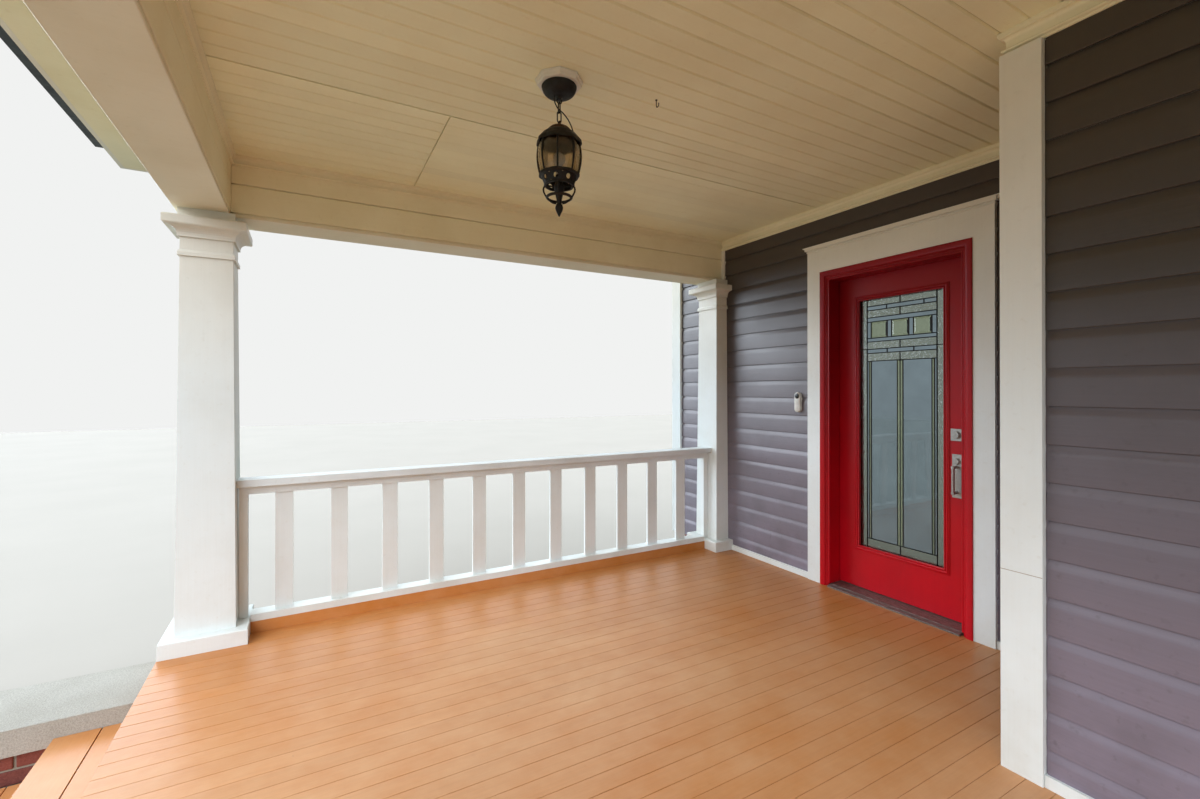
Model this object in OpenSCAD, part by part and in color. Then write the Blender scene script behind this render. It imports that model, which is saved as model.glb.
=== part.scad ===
/* [Plan] */
// Distance between the centres of two front columns
bay_w = 2700; // [2620:10:2720]
// Depth from the column centres to the door wall
wall_y = 3478; // [3300:1:3700]
// Depth from the column centres to the wall of the projecting front room
room_y = 2565; // [2400:1:2700]
// Distance from the left column to the left side of the front room
room_x = 2506; // [2300:1:2550]
// How far the house wall runs on beyond the outer columns
house_over = 587; // [560:1:760]
// Thickness of the house walls
wall_t = 146; // [140:1:180]
// How far the deck reaches beyond the column centres
deck_edge = 184; // [184:1:200]

/* [Heights] */
// Height of the deck above the ground, three risers
deck_h = 450; // [420:3:510]
// Height of the ceiling above the deck
ceiling_z = 2531; // [2480:1:2700]
// Height of the underside of the beams above the deck
beam_z = 2207; // [2190:1:2260]
// Slope of the roof in degrees
roof_slope = 13; // [11:1:16]

/* [Columns] */
// Half width of a column shaft at the deck
shaft_bottom = 127; // [120:1:132]
// Half width of a column shaft at the neck
shaft_top = 110; // [100:1:112]
// Half width of the column's base block
base_half = 182; // [165:1:184]
// Half width of the capital's top moulding
cap_half = 172; // [160:1:174]

/* [Railing] */
// Height of the top of the rail cap
rail_h = 820; // [760:1:950]
// Width of a baluster board
baluster_w = 86; // [60:1:100]
// Spacing of the balusters
baluster_pitch = 274; // [240:1:300]

/* [Door] */
// Distance of the door's centre from the left column
door_x = 1496; // [1400:1:1560]
// Width of the door slab
door_w = 813; // [760:1:820]
// Height of the door slab
door_h = 2010; // [1950:1:2020]
// Width of the visible glass
glass_w = 533; // [480:1:540]
// Height of the visible glass
glass_h = 1594; // [1500:1:1600]

/* [Steps] */
// Depth of one tread from riser to riser
tread_run = 289; // [260:1:300]
// Width of the concrete caps on the cheek walls
cheek_w = 411; // [380:1:420]
// How far the caps reach in front of the deck
cheek_len = 672; // [660:1:700]

/* [Hidden] */
eps = 0.01;

right_x = 2 * bay_w;
rise = deck_h / 3;

// deck construction
board_t = 24;
rim_t = 38;
rim_h = 158;
rim_in = 20;
brick_t = 200;
brick_in = 28;
rim_bottom = -board_t - rim_h;
joist_first = 260;
joist_pitch = 420;
far_joist = 2960;

// beams, ceiling and eaves
beam_in = 95;
beam_out = 140;
side_beam_in = 60;
side_beam_out = 175;
ceiling_t = 19;
soffit_z = 2540;
soffit_t = 12;
eave = 470;
fascia_t = 20;
fascia_h = 150;
roof_t = 60;
roof_drip = 25;
roof_low = soffit_z + fascia_h - roof_drip * tan(roof_slope) + 0.5;

// house walls
front_left = -house_over;
front_right = right_x + house_over;
trim_t = 20;
siding_t = 9;
wall_face = wall_y + siding_t;
room_face = room_y + siding_t;
room_side = room_x + siding_t;
corner_w = 120;
base_strip_h = 40;

// door
gap = 5;
slab_t = 44;
slab_z0 = 22;
slab_y0 = wall_y + wall_t - slab_t;
slab_y1 = slab_y0 + slab_t;
slab_x0 = door_x - door_w / 2;
slab_x1 = door_x + door_w / 2;
jamb_x0 = slab_x0 - gap;
jamb_x1 = slab_x1 + gap + 3;
jamb_z1 = slab_z0 + door_h + gap;
jamb_t = 19;
stop_t = 10;
stop_y1 = slab_y0 - gap - 1;
brickmould_w = 46;
reveal = 6;
brickmould_t = 26;
casing_w = 101;
head_h = 161;
cap_h = 25;
rough_x0 = jamb_x0 - jamb_t;
rough_x1 = jamb_x1 + jamb_t;
rough_z1 = jamb_z1 + jamb_t;
mould_x0 = jamb_x0 - reveal - brickmould_w;
mould_x1 = jamb_x1 + reveal + brickmould_w;
mould_z1 = jamb_z1 + reveal + brickmould_w;
glass_z0 = 286;
glass_rim = 24;
hinge_y = slab_y1 + 9;
hinge_x = slab_x0 - gap / 2;

// lantern, hanging from the ceiling in front of the door
lamp_x = 1500;
lamp_y = 1321;
lamp_loop_z = 2440;
link_pitch = 38;
link_wire = 2.5;
lamp_hook_z = lamp_loop_z - 2 * link_pitch;

// The finished part stands on the ground, centred in its bounding box
front_y = -deck_edge + rim_in - cheek_len;
back_y = wall_y + wall_t;
module place() translate([-bay_w, -(front_y + back_y) / 2, deck_h]) children();

// A box from its low corner to its high corner
module span(a, b) translate(a) cube(b - a);

// Mirrors a left-hand piece to the right-hand end
module other_end() translate([right_x, 0, 0]) mirror([1, 0, 0]) children();

// A square moulded body from one side's profile, a list of [half width, height]
module square_turned(profile) {
  outline = concat(profile, [for (i = [len(profile) - 1:-1:0]) [-profile[i][0], profile[i][1]]]);
  reach = 2 * max([for (q = profile) q[0]]);
  intersection() {
    translate([0, reach / 2, 0]) rotate([90, 0, 0]) linear_extrude(reach) polygon(outline);
    translate([-reach / 2, 0, 0]) rotate([90, 0, 90]) linear_extrude(reach) polygon(outline);
  }
}

// Places of the three free columns and the two half columns against the walls
column_spots = [[0, 0], [bay_w, 0], [right_x, 0]];
half_spots = [[0, wall_y], [right_x, room_y]];
module at_columns() {
  for (p = column_spots) translate(p) children();
  for (p = half_spots) translate(p) intersection() {
    children();
    span([-2 * base_half, -2 * base_half, -1], [2 * base_half, 0, beam_z + 1]);
  }
}

// Heights of the parts of a column
base_h = 78;
astragal_z = 1968;
neck_z = 1998;
cove_z = 2062;
abacus_z = 2112;
abacus_top = 2158;
shaft_taper = (shaft_bottom - shaft_top) / astragal_z;
function shaft_at(z) = shaft_bottom - shaft_taper * z;
cove_steps = 6;
function cove_at(i) = [
  shaft_top + 10 + 42 * (1 - cos(90 * i / cove_steps)),
  cove_z + 10 + (abacus_z - cove_z - 10) * sin(90 * i / cove_steps)
];

module columns() color("ivory") place() at_columns() square_turned([
  [shaft_at(base_h), base_h], [shaft_at(astragal_z), astragal_z]
]);

module column_bases() color("ivory") place() at_columns() square_turned([
  [base_half, 0], [base_half, base_h - 5], [base_half - 4, base_h]
]);

module column_capitals() color("ivory") place() at_columns() square_turned(concat([
  [shaft_top + 9, astragal_z], [shaft_top + 9, astragal_z + 18], [shaft_top + 3, neck_z],
  [shaft_top, neck_z], [shaft_top, cove_z], [shaft_top + 10, cove_z]
], [for (i = [0:cove_steps]) cove_at(i)], [
  [cap_half - 4, abacus_z], [cap_half, abacus_z + 6], [cap_half, abacus_top - 6],
  [cap_half - 6, abacus_top], [shaft_top + 8, abacus_top + 10], [shaft_top + 8, beam_z]
]));

// Foundation of brick under the deck's three outer sides
module porch_foundation() color("firebrick") place() {
  out = deck_edge - brick_in;
  z0 = -deck_h;
  difference() {
    span([-out, -out, z0], [right_x + out, room_y, rim_bottom]);
    span([-out + brick_t, -out + brick_t, z0 - 1], [right_x + out - brick_t, room_y + 1, 0]);
  }
  span([-out, room_y - eps, z0], [-out + brick_t, wall_y, rim_bottom]);
}

// Foundation of brick under the house walls
module house_foundation() color("firebrick") place() {
  z0 = -deck_h;
  span([front_left, wall_y, z0], [room_x + wall_t, wall_y + wall_t, -board_t]);
  span([room_x, room_y, z0], [room_x + wall_t, wall_y + eps, -board_t]);
  span([room_x, room_y, z0], [front_right, room_y + wall_t, -board_t]);
}

// Rim joists and floor joists; the deck boards lie across them from front to back
module deck_frame() color("burlywood") place() {
  out = deck_edge - rim_in;
  z0 = rim_bottom;
  z1 = -board_t;
  span([-out, -out, z0], [right_x + out, -out + rim_t, z1]);
  span([-out, -out, z0], [-out + rim_t, wall_y, z1]);
  span([right_x + out - rim_t, -out, z0], [right_x + out, room_y, z1]);
  for (y = [joist_first:joist_pitch:room_y - joist_pitch / 2])
    span([-out, y, z0], [right_x + out, y + rim_t, z1]);
  for (y = [room_y - rim_t, far_joist, wall_y - rim_t]) span([-out, y, z0], [room_x, y + rim_t, z1]);
  span([-out, room_y - rim_t, z0], [right_x + out, room_y, z1]);
}

// Deck boards, an L in plan around the projecting room
module deck() color("peru") place() {
  span([-deck_edge, -deck_edge, -board_t], [room_x, wall_y, 0]);
  span([room_x - eps, -deck_edge, -board_t], [right_x + deck_edge, room_y, 0]);
}

// Steps between two brick cheek walls with concrete caps
cheek_y1 = -deck_edge + rim_in;
cheek_x1 = 389;
cap_z1 = -76;
cap_z0 = -185;
cheek_in = 22;
module both_cheeks() {
  children();
  translate([bay_w, 0, 0]) mirror([1, 0, 0]) children();
}

module cheek_caps() color("lightgray") place() both_cheeks()
  span([cheek_x1 - cheek_w, cheek_y1 - cheek_len, cap_z0], [cheek_x1, cheek_y1, cap_z1]);

module cheek_walls() color("firebrick") place() both_cheeks()
  span([cheek_x1 - cheek_w + cheek_in, cheek_y1 - cheek_len + cheek_in, -deck_h],
       [cheek_x1 - cheek_in, -deck_edge + brick_in, cap_z0]);

tread_t = 32;
tread_gap = 5;
nosing = 20;
step_x0 = cheek_x1 + 3;
step_x1 = bay_w - cheek_x1 - 3;
module tread(i) {
  y1 = cheek_y1 - (i - 1) * tread_run - 2;
  y0 = cheek_y1 - i * tread_run - nosing;
  mid = (y0 + y1) / 2;
  z = -i * rise;
  span([step_x0, y0, z - tread_t], [step_x1, mid - tread_gap / 2, z]);
  span([step_x0, mid + tread_gap / 2, z - tread_t], [step_x1, y1, z]);
}
module step_treads() color("peru") place() for (i = [1, 2]) tread(i);

// Riser boards nailed to the fronts of three cut stringers
riser_t = 20;
module risers() color("peru") place() for (i = [1, 2]) {
  y = cheek_y1 - i * tread_run;
  span([step_x0, y, -(i + 1) * rise], [step_x1, y + riser_t, -i * rise - tread_t]);
}
stringer_t = 38;
module stringers() color("burlywood") place() {
  back = cheek_y1 - 2;
  y1 = cheek_y1 - tread_run + riser_t;
  y2 = y1 - tread_run;
  z1 = -rise - tread_t;
  z2 = z1 - rise;
  profile = [[back, -deck_h], [back, z1], [y1, z1], [y1, z2], [y2, z2], [y2, -deck_h]];
  for (x = [step_x0 + 20, (step_x0 + step_x1 - stringer_t) / 2, step_x1 - 20 - stringer_t])
    translate([x, 0, 0]) rotate([90, 0, 90]) linear_extrude(stringer_t) polygon(profile);
}

// Railings: a flat cap, a rail under it, board balusters and a flat bottom rail on a shoe
cap_t = 38;
cap_w = 120;
sub_t = 40;
sub_h = 45;
bottom_t = 38;
bottom_w = 89;
shoe_h = 60;
shoe_w = 92;
baluster_t = 20;
half_post_w = 42;
bottom_z0 = shoe_h;
bottom_z1 = shoe_h + bottom_t;
sub_z1 = rail_h - cap_t;
sub_z0 = sub_z1 - sub_h;
// Clear of the tapered shaft at a height
function shaft_clear(z) = shaft_at(z) + 0.5;

// One railing along +X between a column at 0 and a column at length
module railing(length, count, first) {
  a = base_half + 0.5;
  b = length - a;
  post = shaft_clear(base_h);
  span([a, -bottom_w / 2, bottom_z0], [b, bottom_w / 2, bottom_z1]);
  span([post, -sub_t / 2, sub_z0], [length - post, sub_t / 2, sub_z1]);
  for (x = [post, length - post - half_post_w])
    span([x, -sub_t / 2, base_h + 0.5], [x + half_post_w, sub_t / 2, sub_z0 + eps]);
  for (i = [0:count - 1]) {
    x = first + i * baluster_pitch;
    span([x - baluster_w / 2, -baluster_t / 2, bottom_z1 - eps],
         [x + baluster_w / 2, baluster_t / 2, sub_z0 + eps]);
  }
}
module rail_cap(length) {
  a = shaft_clear(sub_z1);
  span([a, -cap_w / 2, sub_z1], [length - a, cap_w / 2, rail_h]);
}
module rail_shoe(length)
  span([base_half + 0.5, -shoe_w / 2, 0], [length - base_half - 0.5, shoe_w / 2, shoe_h]);

left_count = 11;
left_first = 336;
right_count = 8;
front_count = 9;
function centred(length, count) = (length - (count - 1) * baluster_pitch) / 2;
module along_left() rotate([0, 0, 90]) children();
module along_right() translate([right_x, 0, 0]) rotate([0, 0, 90]) children();
module along_front() translate([bay_w, 0, 0]) children();

module railings() color("white") place() {
  along_left() railing(wall_y, left_count, left_first);
  along_right() railing(room_y, right_count, centred(room_y, right_count));
  along_front() railing(bay_w, front_count, centred(bay_w, front_count));
}
module rail_caps() color("white") place() {
  along_left() rail_cap(wall_y);
  along_right() rail_cap(room_y);
  along_front() rail_cap(bay_w);
}
module rail_shoes() color("peru") place() {
  along_left() rail_shoe(wall_y);
  along_right() rail_shoe(room_y);
  along_front() rail_shoe(bay_w);
}

// Beams
module front_beam() color("wheat") place()
  span([-side_beam_out, -beam_out, beam_z], [right_x + side_beam_out, beam_in, soffit_z]);

module side_beams() color("wheat") place() {
  span([-side_beam_out, beam_in, beam_z], [side_beam_in, wall_y, soffit_z]);
  span([right_x - side_beam_in, beam_in, beam_z], [right_x + side_beam_out, room_y, soffit_z]);
}

// Ceiling of boards between the beams and the walls, an L in plan
module ceiling() color("tan") place() {
  span([side_beam_in, beam_in, ceiling_z], [room_x, wall_y, ceiling_z + ceiling_t]);
  span([room_x - eps, beam_in, ceiling_z], [right_x - side_beam_in, room_y, ceiling_z + ceiling_t]);
}

// Moulding where the ceiling meets the beams and walls, square in section here
crown_h = 55;
crown_w = 22;
wall_crown_h = 77;
wall_crown_w = 25;
module ceiling_crown() color("wheat") place() {
  z = ceiling_z;
  xl = side_beam_in;
  xr = right_x - side_beam_in;
  span([xl, beam_in, z - crown_h], [xr, beam_in + crown_w, z]);
  span([xl, beam_in, z - crown_h], [xl + crown_w, wall_y, z]);
  span([xr - crown_w, beam_in, z - crown_h], [xr, room_y, z]);
  span([xl, wall_y - wall_crown_w, z - wall_crown_h], [room_x, wall_y, z]);
  span([room_x - wall_crown_w, room_y - wall_crown_w, z - wall_crown_h], [room_x, wall_y, z]);
  span([room_x - wall_crown_w, room_y - wall_crown_w, z - wall_crown_h], [xr, room_y, z]);
}

// Boxed eaves, open at the house wall
module eave_ring(inner, outer_l, z0, z1) {
  difference() {
    span([-outer_l, -outer_l, z0], [right_x + outer_l, wall_y, z1]);
    span([-inner, -inner, z0 - 1], [right_x + inner, wall_y + 1, z1 + 1]);
    span([right_x, room_y, z0 - 1], [right_x + outer_l + 1, wall_y + 1, z1 + 1]);
  }
}
module eave_soffit() color("beige") place()
  eave_ring(beam_out - 20, eave - fascia_t, soffit_z, soffit_z + soffit_t);

module fascia() color("white") place()
  eave_ring(eave - fascia_t, eave, soffit_z, soffit_z + fascia_h);

gutter_w = 80;
gutter_h = 70;
gutter_wall = 4;
gutter_z0 = soffit_z + 62;
module gutter() color("#20242c") place() {
  x0 = -eave + 100;
  x1 = right_x + eave - 100;
  y1 = -eave;
  y0 = y1 - gutter_w;
  difference() {
    span([x0, y0, gutter_z0], [x1, y1, gutter_z0 + gutter_h]);
    span([x0 + gutter_wall, y0 + gutter_wall, gutter_z0 + gutter_wall],
         [x1 - gutter_wall, y1 - gutter_wall, gutter_z0 + gutter_h + 1]);
  }
}

// Solid under a hipped lean-to surface that starts at height z over the eave line
module under_hip(z, out) {
  t = tan(roof_slope);
  depth = wall_y + wall_t + out;
  width = right_x + 2 * out;
  z0 = soffit_z;
  intersection() {
    translate([-out, 0, 0]) rotate([90, 0, 90]) linear_extrude(width)
      polygon([[-out, z0], [-out, z], [depth - out, z + t * depth], [depth - out, z0]]);
    translate([0, back_y, 0]) rotate([90, 0, 0]) linear_extrude(depth)
      polygon([
        [-out, z0], [-out, z], [right_x / 2, z + t * width / 2], [right_x + out, z], [right_x + out, z0]
      ]);
  }
}

// Three planes of roof deck with shingles, cut off along the backs of the house walls
roof_out = eave + roof_drip;
hip_gap = 3;
roof_back = room_y + wall_t;
ridge_y = right_x / 2;
roof_rise = tan(roof_slope);
ridge_z = roof_low + roof_rise * (right_x / 2 + roof_out);
eave_r = right_x + roof_out;
beyond = 2 * right_x;
module on_plan(outline) translate([0, 0, soffit_z]) linear_extrude(ridge_z) polygon(outline);

// A slab that rises from height roof_low at the eave, along +X
module rising_slab(length) {
  top = roof_low + roof_rise * length;
  translate([0, beyond, 0]) rotate([90, 0, 0]) linear_extrude(2 * beyond)
    polygon([[0, roof_low], [length, top], [length, top + roof_t], [0, roof_low + roof_t]]);
}
module side_plane(back) intersection() {
  translate([-roof_out, 0, 0]) rising_slab(right_x / 2 + roof_out - hip_gap);
  on_plan([
    [-roof_out, -roof_out + hip_gap], [ridge_y, ridge_y + hip_gap], [ridge_y, back], [-roof_out, back]
  ]);
}
module roof() color("dimgray") place() {
  side_plane(back_y);
  other_end() side_plane(roof_back);
  intersection() {
    translate([0, -roof_out, 0]) rotate([0, 0, 90]) rising_slab(ridge_y + roof_out);
    on_plan([[-roof_out + hip_gap, -roof_out], [eave_r - hip_gap, -roof_out], [ridge_y, ridge_y - hip_gap]]);
  }
}

// Folded caps of shingle along the two hips
cap_wing = 130;
cap_lap = 8;
module roof_caps() color("dimgray") place() {
  k = roof_rise;
  z = roof_low + roof_t;
  run = ridge_y + roof_out;
  for (m = [0, 1]) translate([m * right_x, 0, 0]) mirror([m, 0, 0]) translate([-roof_out, -roof_out, z])
    polyhedron(points = [
      [0, 0, 0.5], [cap_wing, 0, 0.5], [0, cap_wing, 0.5],
      [run, run, k * run + 0.5], [run, run - cap_wing, k * (run - cap_wing) + 0.5],
      [run - cap_wing, run, k * (run - cap_wing) + 0.5],
      [0, 0, cap_lap], [cap_wing, 0, cap_lap], [0, cap_wing, cap_lap],
      [run, run, k * run + cap_lap], [run, run - cap_wing, k * (run - cap_wing) + cap_lap],
      [run - cap_wing, run, k * (run - cap_wing) + cap_lap]
    ], faces = [
      [0, 1, 4, 3], [0, 3, 5, 2], [6, 9, 10, 7], [6, 8, 11, 9],
      [0, 6, 7, 1], [0, 2, 8, 6], [1, 7, 10, 4], [2, 5, 11, 8], [3, 4, 10, 9], [3, 9, 11, 5]
    ]);
}

// House walls reach up to the underside of the roof
wall_top = ridge_z + 100;
module wall(a, b) intersection() {
  span(a, b);
  union() {
    under_hip(roof_low - 0.3, roof_out);
    span([front_left - 1, room_y - 1, -deck_h], [front_right + 1, back_y + 1, roof_low]);
  }
}

module door_wall_left() color("rosybrown") place()
  wall([front_left + siding_t, wall_face, -board_t], [rough_x0, back_y, wall_top]);
module door_wall_right() color("rosybrown") place()
  wall([rough_x1, wall_face, -board_t], [room_x + wall_t, back_y, wall_top]);
module door_wall_over() color("rosybrown") place()
  wall([rough_x0, wall_face, rough_z1], [rough_x1, back_y, wall_top]);
module return_wall() color("rosybrown") place()
  wall([room_side, room_y + wall_t, -board_t], [room_x + wall_t, wall_face, wall_top]);
module room_wall() color("rosybrown") place()
  wall([room_side, room_face, -board_t], [front_right - siding_t, room_y + wall_t, wall_top]);

// Pairs of boards that cover the outer corners of the walls; side is how far the second board runs back
module corner_pair(side, height) {
  span([-trim_t, -trim_t, 0], [corner_w - trim_t, siding_t, height]);
  span([-trim_t, -trim_t, 0], [siding_t, side, height]);
}
module corner_boards() color("ivory") place() {
  full = roof_low + board_t;
  translate([front_left, wall_y, -board_t]) corner_pair(wall_t, full);
  translate([room_x, room_y, 0]) corner_pair(corner_w, ceiling_z - wall_crown_h);
  translate([front_right, room_y, -board_t]) mirror([1, 0, 0]) corner_pair(wall_t, full);
}

// Low strips where the walls meet the deck, and upright ones beside the ends of the side beams
module wall_strips() color("ivory") place() {
  strip = 12;
  strip_w = 33;
  top = ceiling_z - wall_crown_h;
  span([side_beam_in, wall_y - strip, beam_z], [side_beam_in + strip_w, wall_face, top]);
  span([right_x - side_beam_in - strip_w, room_y - strip, beam_z],
       [right_x - side_beam_in, room_face, top]);
  span([base_half + 1, wall_y - strip, 0], [casing_left - 1, wall_face, base_strip_h]);
  span([casing_right + 1, wall_y - strip, 0], [room_x - strip - 1, wall_face, base_strip_h]);
  span([room_x - strip, room_y + corner_w + 1, 0], [room_side, wall_y - strip, base_strip_h]);
  span([room_x + corner_w - trim_t + 1, room_y - strip, 0], [right_x - base_half - 1, room_face, base_strip_h]);
}

// Plain casing around the door frame, with a moulded cap over the head
casing_left = mould_x0 - casing_w;
casing_right = mould_x1 + casing_w;
module door_casing() color("ivory") place() {
  y0 = wall_y - trim_t;
  head_z1 = mould_z1 + head_h;
  span([casing_left, y0, 0], [mould_x0, wall_face, mould_z1]);
  span([mould_x1, y0, 0], [casing_right, wall_face, mould_z1]);
  span([casing_left, y0, mould_z1], [casing_right, wall_face, head_z1]);
  span([casing_left - 12, y0 - 14, head_z1], [casing_right + 12, wall_face, head_z1 + cap_h]);
}

// Jambs, head, stops and the moulding on the outside, all one frame
module door_frame() color("darkred") place() {
  y0 = wall_y - brickmould_t;
  difference() {
    span([mould_x0, y0, 0], [mould_x1, wall_face, mould_z1]);
    span([jamb_x0 - reveal, y0 - 1, -1], [jamb_x1 + reveal, wall_face + 1, jamb_z1 + reveal]);
  }
  difference() {
    span([rough_x0, wall_y - 8, 0], [rough_x1, back_y, rough_z1]);
    span([jamb_x0, wall_y - 9, -1], [jamb_x1, back_y + 1, jamb_z1]);
  }
  difference() {
    span([jamb_x0 - eps, wall_y - 8, 0], [jamb_x1 + eps, stop_y1, jamb_z1 + eps]);
    span([jamb_x0 + stop_t, wall_y - 9, -1], [jamb_x1 - stop_t, stop_y1 + 1, jamb_z1 - stop_t]);
  }
}

sill_h = 17;
module threshold() color("gray") place()
  difference() {
    span([jamb_x0 + stop_t + 0.5, wall_y - 30, 0], [jamb_x1 - stop_t - 0.5, back_y, sill_h]);
    translate([jamb_x0, wall_y - 30, sill_h - 8]) rotate([12, 0, 0])
      translate([0, -20, 0]) cube([door_w + 20, 50, 30]);
  }

// Door slab with one tall light; the raised rim around the glass stands on its outer face
module door() color("firebrick") place() difference() {
  union() {
    span([slab_x0, slab_y0, slab_z0], [slab_x1, slab_y1, slab_z0 + door_h]);
    span([door_x - glass_w / 2 - glass_rim, slab_y0 - 3, glass_z0 - glass_rim],
         [door_x + glass_w / 2 + glass_rim, slab_y0 + eps, glass_z0 + glass_h + glass_rim]);
  }
  span([door_x - glass_w / 2, slab_y0 - 10, glass_z0],
       [door_x + glass_w / 2, slab_y1 + 10, glass_z0 + glass_h]);
}

glass_t = 12;
module door_glass() color("lightblue", 0.5) place()
  span([door_x - glass_w / 2, slab_y0 + 12, glass_z0],
       [door_x + glass_w / 2, slab_y0 + 12 + glass_t, glass_z0 + glass_h]);

// Lock with a square plate, and a handle with a tall plate; a knob on the inside
lock_x = door_x + 330;
lock_z = 1050;
lock_half = 33;
plate_low = 703;
plate_high = 943;
plate_half = 24;
plate_t = 6;
latch_z = 905;
grip_low = 725;
grip_high = 881;
grip_feet = [733, 873];
grip_out = 44;
grip_r = 8;
knob_z = 860;
knob_r = 27;
// A round part that stands out from the door's outer face, from a depth inside the plate
module stud(z, h, r) translate([lock_x, slab_y0 - 5, z]) rotate([90, 0, 0]) cylinder(h = h, r = r, $fn = 32);
module door_hardware() color("dimgray") place() {
  span([lock_x - lock_half + 3, slab_y0 - plate_t - 2, lock_z - lock_half],
       [lock_x + lock_half - 3, slab_y0, lock_z + lock_half]);
  stud(lock_z, 14, 16);
  span([lock_x - plate_half, slab_y0 - plate_t, plate_low], [lock_x + plate_half, slab_y0, plate_high]);
  stud(latch_z, 10, 14);
  for (z = grip_feet) stud(z, grip_out + 2, grip_r);
  translate([lock_x, slab_y0 - grip_out, grip_low]) cylinder(h = grip_high - grip_low, r = grip_r, $fn = 24);
  translate([lock_x, slab_y1, knob_z]) rotate([-90, 0, 0]) {
    cylinder(h = 30, r = 12, $fn = 24);
    translate([0, 0, 26]) cylinder(h = 32, r = knob_r, $fn = 40);
  }
}

// Three hinges on the inside; each pin stands in the jamb's knuckles
hinge_zs = [slab_z0 + 180, slab_z0 + door_h / 2, slab_z0 + door_h - 180];
knuckle_r = 8;
pin_r = 4;
leaf_t = 3;
hinge_h = 90;
third = hinge_h / 3;
module door_hinges() color("dimgray") place()
  for (z = hinge_zs) difference() {
    union() {
      translate([hinge_x, hinge_y, z - third / 2 + 0.5]) cylinder(h = third - 1, r = knuckle_r, $fn = 32);
      span([hinge_x + 4, slab_y1, z - third / 2 + 0.5], [slab_x0 + 34, slab_y1 + leaf_t, z + third / 2 - 0.5]);
    }
    translate([hinge_x, hinge_y, z - hinge_h]) cylinder(h = 2 * hinge_h, r = pin_r + 0.05, $fn = 32);
  }
module jamb_hinges() color("dimgray") place()
  for (z = hinge_zs) {
    translate([hinge_x, hinge_y, z - hinge_h / 2]) cylinder(h = hinge_h, r = pin_r, $fn = 32);
    for (s = [-1, 1]) translate([0, 0, z + s * third]) {
      translate([hinge_x, hinge_y, -third / 2]) cylinder(h = third, r = knuckle_r, $fn = 32);
      span([rough_x0 + 1, back_y, -third / 2], [hinge_x - 4, back_y + leaf_t, third / 2]);
    }
  }

// Bell push beside the door: a small rounded case with a round lens
bell_x = 843;
bell_z = 1212;
bell_r = 24;
bell_straight = 92;
bell_out = 24;
push_r = 17;
module doorbell() color("white") place()
  translate([bell_x, wall_face, bell_z]) rotate([90, 0, 0]) {
    depth = siding_t + bell_out;
    for (s = [-1, 1]) translate([0, s * bell_straight / 2, 0]) cylinder(h = depth, r = bell_r, $fn = 48);
    translate([-bell_r, -bell_straight / 2, 0]) cube([2 * bell_r, bell_straight, depth]);
    translate([0, bell_straight / 2 - 2, depth - 1]) cylinder(h = 3, r = push_r, $fn = 40);
  }

// Lantern: a block and a domed canopy on the ceiling, two links, then the lantern itself
block_r = 95;
block_t = 26;
block_step = 10;
module lantern_block() color("white") place()
  translate([lamp_x, lamp_y, ceiling_z - block_t]) rotate([0, 0, 22.5]) {
    cylinder(h = block_t, r1 = block_r - 7, r2 = block_r - 4, $fn = 8);
    translate([0, 0, block_t - block_step]) cylinder(h = block_step, r = block_r, $fn = 8);
  }

canopy_z = ceiling_z - block_t;
canopy_r = 68;
module ring(r, wire) rotate_extrude($fn = 40) translate([r, 0]) circle(wire, $fn = 16);
loop_r = 10;
hang_gap = 0.1;
module lantern_canopy() color("#1c1a18") place() translate([lamp_x, lamp_y, 0]) {
  rotate_extrude($fn = 64) polygon(concat(
    [[0, canopy_z], [canopy_r, canopy_z], [canopy_r, canopy_z - 8]],
    [for (a = [15:15:90]) [14 + (canopy_r - 16) * cos(a), canopy_z - 10 - 32 * sin(a)]],
    [[14, lamp_loop_z + 20], [6, lamp_loop_z + 12 + loop_r], [0, lamp_loop_z + 12 + loop_r]]));
  translate([0, 0, lamp_loop_z - link_wire + loop_r - hang_gap]) rotate([0, 90, 0]) ring(loop_r, link_wire);
}

// A link is two half rings joined by straight bars; it stands in the XZ plane
link_r = 8;
module link() {
  straight = link_pitch - 2 * link_r + 2 * link_wire;
  for (s = [-1, 1]) {
    translate([s * link_r, 0, -straight / 2]) cylinder(h = straight, r = link_wire, $fn = 16);
    translate([0, 0, s * straight / 2]) rotate([90, 0, 0]) rotate([0, 0, s > 0 ? 0 : 180])
      rotate_extrude(angle = 180, $fn = 40) translate([link_r, 0]) circle(link_wire, $fn = 16);
  }
}
module lantern_chain() color("#1c1a18") place() translate([lamp_x, lamp_y, 0]) {
  translate([0, 0, lamp_loop_z - link_pitch / 2]) link();
  translate([0, 0, lamp_loop_z + hang_gap - 3 * link_pitch / 2]) rotate([0, 0, 90]) link();
}

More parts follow.
